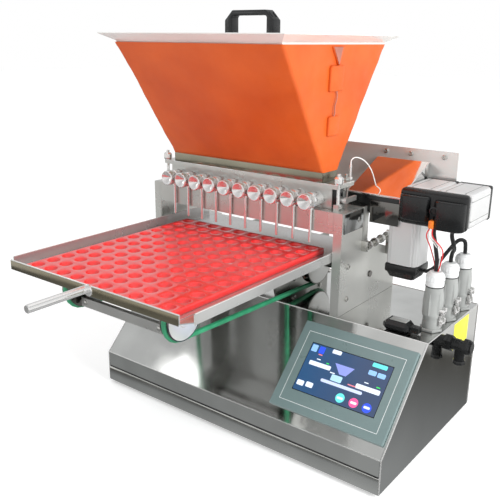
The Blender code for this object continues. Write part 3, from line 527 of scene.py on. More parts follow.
# ---- base
def build_base_details():
    bead = 0.0011
    folds = Shape()
    for height, y in ((SKIRT_TOP, 0.0), (DECK, DECK_FRONT), (DECK, 0.366)):
        folds.sweep([at(0, y, height), at(RIGHT, y, height)], bead, 10)
    for x in (0, RIGHT):
        folds.sweep([at(x, 0, 0.0075), at(x, 0, SKIRT_TOP), at(x, DECK_FRONT, DECK), at(x, 0.366, DECK),
            at(x, 0.366, 0.0075)], bead, 10)
    folds.piece("base_edge_welds", CHROME, "mirror_steel")
    hem = Shape().block(at(0.001, -0.0014, 0.007), at(RIGHT - 0.001, 0.0004, 0.036), 0.0007)
    hem.piece("skirt_hem", BASE_SHEET)
    # Painted shade: a black strip standing in for the shade in the groove between the skirt and its hem.
    shadow = Shape().block(at(0.002, -0.0004, 0.0362), at(RIGHT - 0.002, 0.0003, 0.0385), 0.0002)
    shadow.piece("skirt_groove_shade", RUBBER)
    label = Shape().block(at(RIGHT - 0.0003, 0.255, 0.159), at(RIGHT + 0.0004, 0.321, 0.207), 0.0002)
    label.piece("blank_sticker", STICKER, "plug_grey")
    screws = Shape()
    for x, y in ((0.018, 0.352), (0.3, 0.352), (RIGHT - 0.018, 0.352)):
        screws.turned(DOME_HEAD, at(x, y, DECK), (0, 0, 1), 20)
    for x in (0.02, 0.2, 0.4, RIGHT - 0.02):
        for z in (0.025, 0.195):
            screws.turned(DOME_HEAD, at(x, 0.366, z), (0, 1, 0), 20)
    screws.piece("base_screws", NUT_STEEL)
    vents = Shape()
    for k in range(9):
        vents.block(at(0.22 + 0.014 * k, 0.3655, 0.06), at(0.227 + 0.014 * k, 0.3669, 0.13), 0.0006)
    vents.piece("rear_vents", BLACK)


# ---- terminal
SCREEN_LEFT, SCREEN_LOW, SCREEN_W, SCREEN_H = 0.4245, 0.0565, 0.156, 0.09
GLASS_PROUD = 0.0058


def screen_point(u, v, proud=0.0):
    """A point of the display: u from its left to its right edge, v from its top down."""
    return on_slope(SCREEN_LEFT + u * SCREEN_W, SCREEN_LOW + (1 - v) * SCREEN_H, GLASS_PROUD + proud)


def patch(shape, corners, proud=0.0001, thick=0.0002):
    """A thin plate on the display through (u, v) corners."""
    part = bmesh.new()
    low = [part.verts.new(screen_point(u, v, proud)) for u, v in corners]
    high = [part.verts.new(screen_point(u, v, proud + thick)) for u, v in corners]
    part.faces.new(low)
    part.faces.new(high)
    for k in range(len(corners)):
        j = (k + 1) % len(corners)
        part.faces.new((low[k], low[j], high[j], high[k]))
    return shape.add(part)


def tile(shape, u, v, wide, high, proud=0.0001, corner=0.0018):
    """A rounded tile of the display, given by its middle, its size, and its corner's radius in metres."""
    corner = min(corner, wide * SCREEN_W / 2, high * SCREEN_H / 2)
    cu, cv = corner / SCREEN_W, corner / SCREEN_H
    corners = []
    for k, (su, sv) in enumerate(((1, 1), (-1, 1), (-1, -1), (1, -1))):
        for j in range(5):
            a = math.radians(90 * k + 22.5 * j)
            corners.append((u + su * (wide / 2 - cu) + cu * math.cos(a),
                v + sv * (high / 2 - cv) + cv * math.sin(a)))
    return patch(shape, corners, proud)


def build_terminal_face():
    ground = Shape()
    tile(ground, 0.5, 0.5, 0.985, 0.97, 0.0)
    ground.piece("display_ground", display_ground(), "screen_glass")
    tiles = {"white": ((0.8, 0.88, 1.0), ((0.2, 0.4, 0.27, 0.085), (0.82, 0.545, 0.28, 0.09),
        (0.33, 0.06, 0.11, 0.08), (0.375, 0.465, 0.06, 0.02), (0.16, 0.3, 0.05, 0.018),
        (0.78, 0.44, 0.05, 0.018), (0.069, 0.835, 0.085, 0.1), (0.18, 0.82, 0.085, 0.1))),
        "sky": ((0.3, 0.55, 0.95), ((0.056, 0.11, 0.07, 0.14), (0.8, 0.23, 0.09, 0.09),
        (0.905, 0.235, 0.09, 0.09))), "blue": ((0.04, 0.1, 0.85), ((0.15, 0.11, 0.07, 0.14),
        (0.888, 0.87, 0.105, 0.18))), "aqua": ((0.15, 0.8, 0.75), ((0.85, 0.07, 0.17, 0.08),
        (0.572, 0.86, 0.105, 0.18))), "pink": ((0.95, 0.12, 0.35), ((0.733, 0.862, 0.105, 0.18),)),
        "lilac": ((0.62, 0.7, 0.95), ((0.53, 0.655, 0.5, 0.06),)), "ice": ((0.45, 0.72, 0.9),
        ((0.445, 0.545, 0.13, 0.12),)), "leaf": ((0.05, 0.75, 0.12),
        ((0.28, 0.325, 0.035, 0.02), (0.92, 0.455, 0.045, 0.02))), "rose": ((0.85, 0.25, 0.3),
        ((0.64, 0.575, 0.1, 0.02), (0.155, 0.205, 0.05, 0.02))),}
    for name, (colour, spots) in tiles.items():
        shape = Shape()
        for u, v, wide, high in spots:
            round_button = abs(wide * SCREEN_W - high * SCREEN_H) < 0.001
            tile(shape, u, v, wide, high, 0.0002, 0.05 if round_button or wide > 0.4 else 0.0018)
        shape.piece("display_" + name, display("display_" + name, colour, 0.9), "screen_glass")
    faces = Shape()
    for u in (0.572, 0.733, 0.888):
        tile(faces, u, 0.865, 0.07, 0.045, 0.0004, 0.0015)
    faces.piece("display_button_faces", display("display_button_faces", (0.85, 0.92, 1.0)), "screen_glass")
    hopper = Shape()
    patch(hopper, ((0.362, 0.265), (0.597, 0.265), (0.533, 0.45), (0.455, 0.45)), 0.0002)
    hopper.piece("display_hopper_sign", display("display_hopper_sign", (0.32, 0.38, 0.9)), "screen_glass")

    line = Shape()
    left, right, top, low = -0.093, 1.09, -0.2, 1.24
    wide, high = 0.0045, 0.008
    for u0, v0, u1, v1 in ((left, top, right, top + high), (left, low - high, right, low),
            (left, top, left + wide, low), (right - wide, top, right, low)):
        patch(line, ((u0, v0), (u1, v0), (u1, v1), (u0, v1)), 0.0001, 0.0002)
    line.piece("bezel_line", PRINT, "terminal_grey")


# ---- nozzles
HEAD_RADIUS = 0.0145


def build_nozzles():
    """Each head's turned profile, run from the cone in its front face to its back, with its dosing tube."""
    outer, waist = HEAD_RADIUS, 0.0118
    profile = [(0, 0.0105), (0.0012, 0.0098), (outer - 0.0024, 0.0002), (outer - 0.0018, 0),
        (outer - 0.0009, 0.0003), (outer, 0.0014), (outer, 0.0122), (outer - 0.0004, 0.013),
        (waist, 0.0145), (waist, 0.0178), (outer - 0.0016, 0.019), (outer - 0.0008, 0.0198),
        (outer - 0.0008, 0.0345), (outer - 0.0016, 0.0355), (0.0125, 0.0362), (0.0125, 0.0455)]
    for name in sorted(n for n in nodes if n.startswith("nozzle_")):
        low, high = measured(name)
        middle = (low.x + high.x) / 2
        axis_z = low.z + 0.075
        shape = Shape().turned(profile, at(middle, low.y, axis_z), (0, 1, 0), 48)
        tube_y = low.y + 0.0238
        tube = [(0.0013, 0), (0.0022, 0), (0.0026, 0.0006), (0.0026, 0.064), (0.0013, 0.064), (0.0013, 0)]
        shape.turned(tube, at(middle, tube_y, low.z), (0, 0, 1), 20)
        shape.turned([(0.0045, 0), (0.0045, 0.004)], at(middle, tube_y, axis_z - 0.0165), (0, 0, 1), 20)
        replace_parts(shape.piece(name + "_turned", CHROME, sharp=28), name)


# ---- mould
def build_mould():
    """A silicone sheet whose top is a grid of cells, each a round cup in a rectangle of flat top."""
    low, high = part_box("silicone_mould")
    columns, rows, pitch_x, pitch_y = 10, 13, 0.0328, 0.0301
    radius, depth, sides = 0.0108, 0.0078, 24
    middle = (low + high) / 2
    cup = [(1.07, 0.0), (1.02, -0.0002), (0.985, -0.0008), (0.95, -0.0026), (0.85, -0.0046),
        (0.66, -0.0064), (0.36, -0.0075)]
    work = bmesh.new()
    for column in range(columns):
        for row in range(rows):
            centre = Vector((middle.x + (column - (columns - 1) / 2) * pitch_x,
                middle.y + (row - (rows - 1) / 2) * pitch_y, high.z))
            border = []
            corners = [(1, 1), (-1, 1), (-1, -1), (1, -1), (1, 1)]
            for (ax, ay), (bx, by) in zip(corners, corners[1:]):
                for k in range(sides // 4):
                    t = k / (sides // 4)
                    border.append(centre + Vector(((ax + (bx - ax) * t) * pitch_x / 2,
                        (ay + (by - ay) * t) * pitch_y / 2, 0)))
            rings = [[work.verts.new(p) for p in border]]
            for share, drop in cup:
                rings.append([work.verts.new(centre + Vector((radius * share * math.cos(a),
                    radius * share * math.sin(a), drop))) for a in (math.radians(45) + math.tau * k / sides
                    for k in range(sides))])
            for outer, inner in zip(rings, rings[1:]):
                for k in range(sides):
                    work.faces.new((outer[k], outer[(k + 1) % sides], inner[(k + 1) % sides], inner[k]))
            bottom = work.verts.new(centre - Vector((0, 0, depth)))
            for k in range(sides):
                work.faces.new((rings[-1][k], rings[-1][(k + 1) % sides], bottom))
    bmesh.ops.remove_doubles(work, verts=work.verts, dist=1e-5)

    half = (high - low) / 2
    ring = [e for e in work.edges if e.is_boundary]
    rounding = 0.0012
    start = (columns * pitch_x / 2, rows * pitch_y / 2)
    for half_x, half_y, z in ((half.x - rounding, half.y - rounding, high.z),
            (half.x, half.y, high.z - rounding), (half.x, half.y, low.z)):
        grown = bmesh.ops.extrude_edge_only(work, edges=ring)
        ring = [e for e in grown["geom"] if isinstance(e, bmesh.types.BMEdge) and e.is_boundary]
        for vert in (v for v in grown["geom"] if isinstance(v, bmesh.types.BMVert)):
            vert.co = Vector((middle.x + (vert.co.x - middle.x) * half_x / start[0],
                middle.y + (vert.co.y - middle.y) * half_y / start[1], z))
        start = (half_x, half_y)
    bmesh.ops.edgeloop_fill(work, edges=ring)
    shape = Shape()
    shape.add(work)
    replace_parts(shape.piece("mould_with_cups", RED, body="tray", sharp=50), "silicone_mould")


# ---- hopper
def ring_size(node, highest):
    """Half sizes and height of a square node's outline at its top or its foot."""
    heights = [v.co.z for v in nodes[node].data.vertices]
    level = max(heights) if highest else min(heights)
    spots = [v.co for v in nodes[node].data.vertices if abs(v.co.z - level) < 0.002]
    xs, ys = [p.x for p in spots], [p.y for p in spots]
    centre = Vector(((max(xs) + min(xs)) / 2, (max(ys) + min(ys)) / 2, 0))
    return centre, (max(xs) - min(xs)) / 2, (max(ys) - min(ys)) / 2, level


def rounded_outline(half_x, half_y, radius, along=26):
    """Points round a rectangle with round corners, starting half way along its +X side."""
    points = []
    for k, (sx, sy) in enumerate(((1, 1), (-1, 1), (-1, -1), (1, -1))):
        middle = Vector((sx * (half_x - radius), sy * (half_y - radius)))
        for j in range(7):
            a = math.radians(90 * k + 15 * j)
            points.append(middle + radius * Vector((math.cos(a), math.sin(a))))
        nx, ny = ((-1, 1), (-1, -1), (1, -1), (1, 1))[k]
        following = Vector((nx * (half_x - radius), ny * (half_y - radius)))
        a = math.radians(90 * (k + 1))
        end = following + radius * Vector((math.cos(a), math.sin(a)))
        start = points[-1].copy()
        points += [start.lerp(end, j / along) for j in range(1, along)]
    return points


def build_jacket():
    """The silicone heating jacket: four soft sides with round corners, hems and shallow wrinkles."""
    centre, foot_x, foot_y, foot_z = ring_size("heater_jacket", False)
    _, top_x, top_y, top_z = ring_size("heater_jacket", True)
    steps, thick = 40, 0.0022
    work = bmesh.new()

    def ring(t, inset, wrinkled):
        half_x, half_y = foot_x + (top_x - foot_x) * t - inset, foot_y + (top_y - foot_y) * t - inset
        z = foot_z + (top_z - foot_z) * t
        verts = []
        for p in rounded_outline(half_x, half_y, 0.006):
            spot = Vector((centre.x + p.x, centre.y + p.y, z))
            if wrinkled:
                push = 0.0012 * noise.noise(spot * 22) + 0.0004 * noise.noise(spot * 70)
                hem = 0.0006 if t < 0.035 or t > 0.965 else 0.0
                spot += Vector((p.x / half_x, p.y / half_y, 0)) * (push + hem)
            verts.append(work.verts.new(spot))
        return verts

    skins = [[ring(k / steps, 0, True) for k in range(steps + 1)], [ring(k / steps, thick, False)
        for k in (0, steps)]]
    count = len(skins[0][0])
    bands = [*zip(skins[0], skins[0][1:]), (skins[0][-1], skins[1][-1]), (skins[1][-1], skins[1][0]),
        (skins[1][0], skins[0][0])]
    for near, far in bands:
        for k in range(count):
            work.faces.new((near[k], near[(k + 1) % count], far[(k + 1) % count], far[k]))
    shape = Shape()
    shape.add(work)
    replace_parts(shape.piece("silicone_jacket", ORANGE, sharp=60), "heater_jacket")

    foot = Vector((centre.x + foot_x, centre.y, foot_z))
    rise = Vector((top_x - foot_x, 0, top_z - foot_z))
    out = Vector((rise.z, 0, -rise.x)).normalized()

    def on_end(across, up, proud=0.0):
        """A point of the jacket's right end face: across it, up it from its foot, and proud of it."""
        return foot + Vector((0, across, 0)) + rise * up + out * proud

    pads = Shape()
    for low, high, half in ((0.645, 0.845, 0.0205), (0.295, 0.455, 0.0165)):
        tall = (high - low) * rise.length
        outline = [(-half, 0), (half, 0), (half, tall * 0.94), (half * 0.8, tall), (-half * 0.8, tall),
            (-half, tall * 0.94)]
        pads.prism(outline, facing(on_end(-0.008, low, -0.001), (0, 1, 0), rise), 0.0065, 0.0026, 3)
    pads.piece("jacket_pads", ORANGE, sharp=70)
    flap = Shape().prism([(-0.02, 0), (0.02, 0), (0.002, -0.03)], facing(on_end(-0.006, 0.985, -0.0005),
        (0, 1, 0), rise), 0.0042, 0.0012, 2)
    flap.piece("jacket_flap", ORANGE)
    lining = Shape().prism([(-0.018, 0), (0.01, 0), (0.0015, -0.0285)],
        facing(on_end(-0.006, 0.983, 0.0032), (0, 1, 0), rise), 0.0016, 0.0004, 2)
    lining.piece("jacket_flap_lining", LINING)
    lead = [on_end(-0.006, 0.655, 0.0035), on_end(-0.004, 0.6, 0.0042), on_end(-0.009, 0.53, 0.004),
        on_end(-0.008, 0.48, 0.0042), on_end(-0.011, 0.44, 0.0035)]
    Shape().sweep(curve_through(lead), 0.0012, 8).piece("jacket_lead", LINING)


def build_lid():
    low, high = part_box("lid_handle")
    half, height, leg, bar, shoulder = (high.x - low.x) / 2, high.z - low.z, 0.0155, 0.009, 0.017
    outline = [(-half, 0), (-half, height - shoulder), (-half + shoulder, height),
        (half - shoulder, height), (half, height - shoulder), (half, 0), (half - leg, 0),
        (half - leg, height - bar - 0.003), (half - leg - 0.003, height - bar),
        (-half + leg + 0.003, height - bar), (-half + leg, height - bar - 0.003), (-half + leg, 0)]
    middle = Vector(((low.x + high.x) / 2, high.y, low.z))
    shape = Shape().prism(outline, facing(middle, (1, 0, 0), (0, 0, 1)), high.y - low.y, 0.0018, 3)
    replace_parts(shape.piece("moulded_handle", BLACK, body="lid"), "lid_handle")
    recess = Shape()
    slant = Vector((1, 0, -1)).normalized()
    for across in (low.y + 0.005, high.y - 0.005):
        spot = Vector((high.x - shoulder / 2 - 0.0035, across, high.z - shoulder / 2 + 0.0035))
        recess.rod(spot - slant * 0.002, spot + slant * 0.009, 0.0016, 10, 0.0003)
    recess.piece("handle_screw_ribs", SATIN_BLACK, "black_plastic", "lid")


def build_flange_details():
    low, high = measured("hopper_flange")
    centre, half_x, half_y, _ = ring_size("heater_jacket", False)
    foot = min(v.co.z for v in nodes["heater_jacket"].data.vertices)
    # Painted reflection: a thin sleeve round the hopper's neck that carries the olive tint of its reflection.
    neck = Shape()
    for sx, sy in ((0, -1), (0, 1), (-1, 0), (1, 0)):
        across = Vector((half_x - 0.0012 if sy else 0.0005, half_y - 0.0012 if sx else 0.0005, 0))
        middle = centre + Vector((sx * (half_x - 0.0017), sy * (half_y - 0.0017), 0))
        neck.block(middle - across + Vector((0, 0, high.z + 0.0002)),
            middle + across + Vector((0, 0, foot - 0.0004)), 0.0002)
    neck.piece("neck_reflection_sleeve", NECK_REFLECTION_SHEET)
    lips = Shape()
    lips.sweep([at(low.x, low.y, high.z - 0.0006), at(high.x, low.y, high.z - 0.0006),
        at(high.x, high.y, high.z - 0.0006)], 0.0008, 8)
    lips.piece("flange_edge", PALE_SHEET)
    block_low, block_high = measured("piston_block")
    bolts = Shape()
    for k in range(6):
        x = low.x + 0.03 + k * (high.x - low.x - 0.06) / 5
        bolts.hexagon(at(x, high.y - 0.006, high.z), at(x, high.y - 0.006, high.z + 0.004), 0.007)
    for x in (low.x + 0.009, high.x - 0.009):
        bolts.hexagon(at(x, high.y - 0.012, high.z), at(x, high.y - 0.012, high.z + 0.005), 0.009)
        bolts.turned([(0.003, 0), (0.003, 0.006), (0.0018, 0.0075), (0, 0.008)],
            at(x, high.y - 0.012, high.z + 0.005), (0, 0, 1), 18)
    for x in (block_low.x, block_high.x):
        out = 1 if x > low.x + 0.2 else -1
        for y, z in ((block_low.y + 0.038, block_low.z + 0.008), (block_low.y + 0.038, block_high.z - 0.008)):
            bolts.hexagon(at(x, y, z), at(x + out * 0.003, y, z), 0.006)
    bolts.piece("flange_bolts", NUT_STEEL)

    x, y, z = high.x - 0.005, high.y - 0.006, high.z
    probe = Shape().hexagon(at(x, y, z), at(x, y, z + 0.007), 0.008)
    probe.rod(at(x, y, z + 0.007), at(x, y, z + 0.028), 0.0022, 16, 0.0006)
    probe.piece("probe_gland", CHROME)
    loop = [at(x, y, z + 0.027), at(x + 0.001, y, z + 0.037), at(x + 0.007, y + 0.007, z + 0.041),
        at(x + 0.016, y + 0.02, z + 0.034), at(x + 0.023, y + 0.034, z + 0.016),
        at(x + 0.026, y + 0.048, z - 0.012)]
    Shape().sweep(curve_through(loop), 0.001, 8).piece("probe_wire", WIRE_WHITE, "plug_grey")


def build_bridge_details():
    low, high = measured("bridge_upright_right")
    rods = Shape().rod(at(high.x + 0.008, 0.214, 0.327), at(high.x + 0.008, 0.318, 0.331), 0.0035, 18, 0.0008)
    for k in range(4):
        y = 0.22 + 0.024 * k
        rods.hexagon(at(high.x + 0.008, y, 0.3273 + 0.0009 * k), at(high.x + 0.008, y + 0.013,
            0.3278 + 0.0009 * k), 0.0135)
    for y, foot in ((0.215, 0.318), (0.312, 0.29)):
        rods.block(at(high.x - 0.0003, y, foot), at(high.x + 0.0125, y + 0.003, 0.3375), 0.0008)
    rods.piece("tie_rod_and_nuts", NUT_STEEL)
    cap = Shape().block(at(high.x - 0.0004, 0.1485, 0.3625), at(high.x + 0.0022, 0.214, 0.3975), 0.0012, 2)
    cap.piece("beam_end_cap", END_SHEET)
    block_low, block_high = measured("piston_block")
    gasket = Shape().block(at(block_high.x - 0.0005, block_low.y + 0.003, block_low.z + 0.003),
        at(block_high.x + 0.006, block_low.y + 0.028, block_high.z - 0.001), 0.0008)
    gasket.piece("block_end_gasket", BLACK)
    strip = Shape().block(at(high.x - 0.003, 0.2165, 0.3375), at(high.x + 0.0008, 0.236, 0.3985), 0.0006)
    strip.block(at(high.x - 0.003, 0.2165, 0.3), at(high.x - 0.0002, 0.228, 0.3385), 0.0006)
    strip.piece("upright_rear_strip", SATIN, "mirror_steel")
    bolts = Shape()
    deck_head = socket_head(0.0055, 0.003, 0.0045, 0.004, 0.0024, 0.002)
    side_head = socket_head(0.005, 0.0025, 0.004, 0.0034, 0.0022, 0.0016)
    left_low, left_high = measured("bridge_upright_left")
    for y in (0.18, 0.26, 0.335):
        for x in (low.x + 0.008, left_high.x - 0.008):
            bolts.turned(deck_head, at(x, y, DECK + 0.0033), (0, 0, 1), 24)
    for y, z in ((0.2, 0.38), (0.17, 0.3), (0.17, 0.24)):
        for x, out in ((high.x, 1), (left_low.x, -1)):
            bolts.turned(side_head, at(x, y, z), (out, 0, 0), 24)
    bolts.piece("bridge_screws", NUT_STEEL)


# ---- conveyor and tray
def build_conveyor_details():
    clips = Shape()
    low, high = measured("conveyor_front_bar")
    for x in (0.124, 0.299):
        clips.block(at(x - 0.006, high.y - 0.0005, low.z + 0.001), at(x + 0.006, high.y + 0.0106,
            low.z + 0.003), 0.0008)
        clips.turned([(0.0045, 0), (0.004, 0.0018), (0.002, 0.0025), (0, 0.0026)],
            at(x, low.y, (low.z + high.z) / 2), (0, -1, 0), 20)
    plate_head = socket_head(0.0048, 0.0024, 0.0036, 0.0034, 0.002, 0.0015)
    for x, out in ((measured("conveyor_plate_left")[0].x, -1), (measured("conveyor_plate_right")[1].x, 1)):
        for y in (-0.08, 0.02, 0.11, 0.22, 0.315):
            clips.turned(plate_head, at(x, y, 0.274 if y < 0.14 else 0.232), (out, 0, 0), 20)
    clips.piece("conveyor_fixings", NUT_STEEL)
    for node in ("front_idler", "drive_roller"):
        low, high = measured(node)
        y, z, radius = (low.y + high.y) / 2, (low.z + high.z) / 2, (high.z - low.z) / 2
        discs = Shape()
        for x, out in ((0.328 + 0.0084, 1), (0.098 - 0.0084, -1)):
            discs.turned([(0.0062, 0), (radius - 0.002, 0), (radius - 0.002, 0.0004),
                (radius - 0.006, 0.0012), (0.014, 0.0012), (0.012, 0.003), (0.0062, 0.003), (0.0062, 0)],
                at(x, y, z), (out, 0, 0), 48)
        discs.piece(node + "_faces", PALE_SHEET, "aluminium", node)
    edge = Shape()
    low, high = measured("mould_tray")
    edge.sweep([at(low.x + 0.0005, low.y + 0.001, 0.3262), at(0.4125, low.y + 0.001, 0.3262)], 0.0011, 10)
    edge.sweep([at(low.x + 0.001, low.y + 0.007, high.z), at(low.x + 0.001, high.y - 0.0005, high.z)],
        0.001, 10)
    edge.sweep([at(high.x - 0.001, low.y + 0.019, 0.3252), at(high.x - 0.001, high.y - 0.0005, 0.3252)],
        0.001, 10)
    edge.sweep([at(high.x - 0.001, low.y + 0.0185, 0.3095), at(high.x - 0.001, low.y + 0.0185, 0.325)],
        0.001, 10)
    edge.piece("tray_edges", PALE_SHEET, body="tray")
    lip = Shape().block(at(low.x + 0.0008, low.y - 0.0005, 0.3102), at(0.4122, low.y + 0.0003, 0.3252),
        0.0002)
    lip.piece("tray_front_lip", OLIVE_SHEET, "brushed_steel", "tray")
    rails = Shape()
    for x in (0.052, 0.4045):
        rails.block(at(x - 0.0006, low.y + 0.004, 0.3139), at(x + 0.0006, high.y - 0.002, 0.3146), 0.0002)
    rails.piece("tray_floor_seams", BRUSHED, "brushed_steel", "tray")
    collar = Shape().turned([(0.0095, 0), (0.0095, 0.0016), (0.0085, 0.0026), (0.0067, 0.0028)],
        at((low.x + high.x) / 2, low.y, 0.3192), (0, -1, 0), 28)
    collar.piece("handle_collar", CHROME, body="tray")


# ---- drives
def build_covers():
    low, high = measured("servo_covers")
    middle = (low.x + high.x) / 2
    lobes = Shape().block(at(low.x, low.y + 0.012, low.z), at(high.x, high.y, high.z), 0.008, 4)
    for left, right, foot, top in ((low.x + 0.002, middle - 0.002, low.z + 0.01, high.z - 0.009),
            (middle + 0.004, high.x - 0.0015, low.z + 0.001, high.z - 0.012)):
        part = bmesh.new()
        bmesh.ops.create_cube(part, size=1)
        bmesh.ops.scale(part, vec=(right - left, 0.03, top - foot), verts=part.verts)
        soften(part, uprights(part), 0.0145, 6)
        soften(part, [e for e in part.edges if e.calc_face_angle(0) > 1.2], 0.004, 3)
        lobes.add(part, Matrix.Translation(at((left + right) / 2, low.y + 0.0152, (foot + top) / 2)))
    lobes.turned([(0.0075, 0), (0.0075, 0.003), (0.0056, 0.0035), (0.0052, 0.001)],
        at(middle + 0.008, low.y + 0.0045, low.z + 0.032), (0, -1, 0), 28)
    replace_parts(lobes.piece("two_lobed_cover", BLACK, sharp=45), "servo_covers")
    plug, left, front = Shape(), middle + 0.002, low.y - 0.0025
    plug.block(at(left, front + 0.001, low.z + 0.003), at(left + 0.008, low.y + 0.012, low.z + 0.016), 0.0008)
    plug.block(at(left + 0.002, front, low.z + 0.007), at(left + 0.006, low.y + 0.004, low.z + 0.012), 0.0004)
    plug.piece("orange_socket", CONNECTOR_ORANGE, "silicone_orange")


def build_servo_ends():
    for name in ("piston_servo", "valve_servo"):
        low, high = measured(name)
        proud, back, inset = 0.0005, high.y - 0.014, 0.01
        ends = Shape()
        ends.block(at(low.x - proud, back, low.z - proud), at(high.x + proud, high.y + 0.0002,
            high.z + proud), 0.004, 3)
        ends.block(at(low.x + inset, high.y - 0.001, low.z + inset),
            at(high.x - inset, high.y + 0.006, high.z - inset), 0.004, 3)
        ends.piece(name + "_end_cap", BLACK)
        grooves, half, front, rear = Shape(), 0.0008, low.y + 0.001, back - 0.0002
        for share in (0.22, 0.78):
            x, z = low.x + share * (high.x - low.x), low.z + share * (high.z - low.z)
            grooves.block(at(x - half, front, high.z - 0.0003), at(x + half, rear, high.z + 0.0002), 0.0001)
            grooves.block(at(high.x - 0.0003, front, z - half), at(high.x + 0.0002, rear, z + half), 0.0001)
        grooves.piece(name + "_grooves", GREY)


def build_lift_servo():
    low, high = measured("lift_servo")
    body = Shape()
    x, y, _ = (low + high) / 2
    half = (high.x - low.x) / 2
    inner = half - 0.002
    run = [(half, half - 0.011), (inner, half - 0.009), (inner, half - 0.0055), (half - 0.0055, inner),
        (half - 0.009, inner), (half - 0.011, half)]
    outline = []
    for _ in range(4):
        outline += run
        run = [(-b, a) for a, b in run]
    body.prism(outline, Matrix.Translation(at(x, y, low.z)), high.z - low.z)
    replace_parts(body.piece("lift_servo_extrusion", ALUMINIUM, "aluminium"), "lift_servo")
    low, high = measured("lift_servo_cap")
    x, y, _ = (low + high) / 2
    foot = Shape().block(at(low.x, low.y, low.z + 0.009), at(high.x, high.y, high.z), 0.004, 3)
    part = bmesh.new()
    corner = math.sqrt(2)
    bmesh.ops.create_cone(part, segments=4, radius1=0.0235 * corner, radius2=0.029 * corner, depth=0.0125,
        cap_ends=True)
    soften(part, uprights(part), 0.006, 3)
    foot.add(part, Matrix.Translation(at(x, y, low.z + 0.0063)) @ Matrix.Rotation(math.radians(45), 4, "Z"))
    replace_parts(foot.piece("lift_servo_foot", BLACK), "lift_servo_cap")


def build_hood_and_guard():
    low, high = measured("drive_hood")
    lip, right, y = 0.421, high.x - 0.002, low.y
    front = Shape().block(at(low.x + 0.001, y - 0.0016, low.z), at(right, y + 0.0004, lip - 0.0025), 0.0004)
    front.block(at(low.x - 0.012, y + 0.012, low.z - 0.006), at(right, y + 0.09, low.z + 0.001), 0.002)
    front.piece("hood_front_panel", BLACK)
    plate = Shape().block(at(low.x + 0.048, y - 0.0036, low.z - 0.018),
        at(high.x + 0.0005, y - 0.0018, low.z + 0.022), 0.0005)
    plate.piece("drive_front_plate", DARK_SHEET, "mirror_steel")
    head = at(low.x + 0.03, y + 0.02, low.z - 0.011)
    Shape().hexagon(head, head + Vector((0, 0, 0.0055)), 0.008).piece("hood_bolt", NUT_STEEL)
    guard_low, guard_high = measured("rear_guard")
    screws, head = Shape(), socket_head(0.0045, 0.0026, 0.0034, 0.0034, 0.002, 0.0015)
    for x in (0.12, 0.3, 0.42, 0.47, 0.535):
        screws.turned(head, at(x, guard_low.y, guard_high.z - 0.01), (0, -1, 0), 22)
    screws.piece("guard_screws", NUT_STEEL)
    edge = Shape().sweep([at(low.x, y - 0.0002, lip), at(high.x, y - 0.0002, lip)], 0.0012, 10)
    edge.sweep([at(high.x, y - 0.0006, low.z), at(high.x, y - 0.0006, lip), at(high.x, high.y, high.z)],
        0.0009, 10)
    edge.piece("hood_folded_edge", CHROME, "mirror_steel")


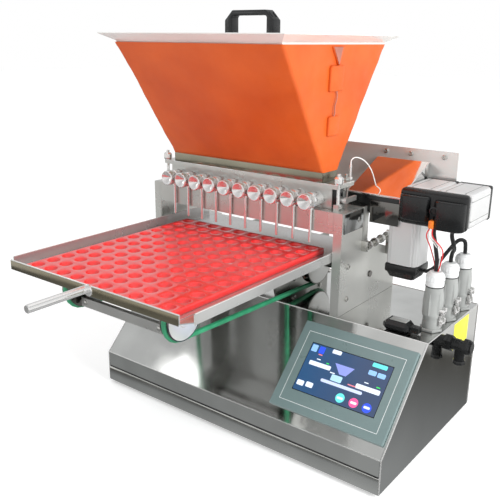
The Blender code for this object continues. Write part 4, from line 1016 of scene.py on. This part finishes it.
# ---- plugs and wires
def build_plugs():
    for k in (1, 2, 3):
        name = f"deck_plug_{k}"
        low, high = measured(name)
        x, y, _ = (low + high) / 2
        foot, top = low.z, high.z
        body = Shape()
        body.turned([(0.0185, 0), (0.0195, 0.001), (0.0195, 0.004), (0.018, 0.005)], at(x, y, foot),
            (0, 0, 1), 6)
        body.turned([(0.0155, 0.005), (0.0158, 0.01), (0.015, 0.017), (0.0148, 0.024), (0.0165, 0.027),
            (0.0165, 0.031), (0.0158, 0.033), (0.0158, 0.058), (0.015, 0.072), (0.0148, 0.08)],
            at(x, y, foot), (0, 0, 1), 40)
        body.turned([(0.0172, 0.03), (0.0172, 0.054), (0.0158, 0.068)], at(x, y, foot), (0, 0, 1), 6, 0.5)
        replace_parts(body.piece(name + "_shell", GREY), name)
        nut = Shape()
        nut.turned([(0.015, 0), (0.0152, 0.0008), (0.0152, 0.0065), (0.0143, 0.0072), (0.0143, 0.0086),
            (0.0152, 0.0093), (0.0152, 0.0165), (0.0144, 0.0195), (0.0118, 0.0215), (0.0112, 0.0225),
            (0.0098, 0.0238), (0.0048, 0.024)], at(x, y, top - 0.024), (0, 0, 1), 40)
        for j in range(20):
            a = math.tau * j / 20
            spot = at(x + 0.0152 * math.cos(a), y + 0.0152 * math.sin(a), top - 0.0145)
            nut.rod(spot, spot + Vector((0, 0, 0.0068)), 0.0007, 6)
        nut.piece(name + "_gland_nut", PALE, "plug_grey")
        line = Shape().turned([(0.014, 0), (0.0154, 0.0003), (0.0154, 0.0015), (0.014, 0.0018), (0.014, 0)],
            at(x, y, top - 0.0262), (0, 0, 1), 40)
        line.piece(name + "_seal", RUBBER)
        latch = Shape()
        for z0, z1, reach in ((0.012, 0.024, 0.0215), (0.022, 0.034, 0.019), (0.03, 0.042, 0.0225)):
            for arm in (y - 0.008, y + 0.005):
                latch.block(at(x + 0.0145, arm, foot + z0), at(x + reach, arm + 0.003, foot + z1), 0.0008, 2)
        for out, z in ((x + 0.0205, foot + 0.037), (x + 0.0195, foot + 0.016)):
            latch.rod(at(out, y - 0.0095, z), at(out, y + 0.0095, z), 0.0018, 14, 0.0004)
        latch.piece(name + "_latch", CHROME)

    low, high = measured("servo_covers")
    socket = Vector(((low.x + high.x) / 2 + 0.006, low.y + 0.003, low.z + 0.004))
    low, high = measured("deck_plug_1")
    x, y, _ = (low + high) / 2
    top = high.z
    wires = (("red_wire_a", WIRE_RED, -0.0022, -0.01), ("red_wire_b", WIRE_RED, 0.0026, 0.011),
        ("white_wire_a", WIRE_WHITE, -0.0006, 0.002), ("white_wire_b", WIRE_WHITE, 0.0012, 0.007))
    for name, look, offset, bow in wires:
        start = socket.x + offset
        route = [at(start, socket.y, socket.z), at(start + bow * 0.3, socket.y - 0.004, socket.z - 0.014),
            at((socket.x + x) / 2 + bow, y + 0.016, (socket.z + top) / 2 - 0.002),
            at(x + offset + bow * 0.25, y + 0.002, top + 0.012), at(x + offset, y - 0.001, top - 0.003)]
        Shape().sweep(curve_through(route), 0.001, 8).piece(name, look, "black_plastic")


def build_small_fittings():
    low, high = measured("signal_plug")
    trim = Shape().block(at(low.x + 0.01, low.y + 0.008, high.z - 0.0005),
        at(high.x - 0.022, high.y - 0.008, high.z + 0.0008), 0.0006)
    trim.piece("signal_plug_panel", GREY)
    screws = Shape()
    for y in (low.y + 0.005, high.y - 0.005):
        screws.turned([(0.0024, 0), (0.002, 0.0012), (0, 0.0014)], at(low.x + 0.006, y, high.z - 0.004),
            (0, 0, 1), 14)
    screws.piece("signal_plug_screws", NUT_STEEL)
    low, high = measured("side_gland")
    y, z = (low.y + high.y) / 2, high.z - 0.0145
    rings = Shape()
    rings.turned([(0.0135, 0), (0.0142, 0.001), (0.0142, 0.008), (0.013, 0.009)], at(low.x + 0.0265, y, z),
        (1, 0, 0), 8)
    for k in range(4):
        rings.turned([(0.0088, 0), (0.0105, 0.0006), (0.0105, 0.0018), (0.0088, 0.0024), (0.0088, 0)],
            at(low.x + 0.008 + 0.0032 * k, y, z), (1, 0, 0), 24)
    rings.turned([(0.0105, 0), (0.011, 0.001), (0.011, 0.006), (0.01, 0.007)],
        at(low.x + 0.02, y, z - 0.027), (0, 0, -1), 8)
    rings.piece("side_gland_nuts", BLACK)


build_studio()
dress_nodes()
build_base_details()
build_terminal_face()
build_nozzles()
build_mould()
build_jacket()
build_lid()
build_flange_details()
build_bridge_details()
build_conveyor_details()
build_covers()
build_servo_ends()
build_lift_servo()
build_hood_and_guard()
build_plugs()
build_small_fittings()
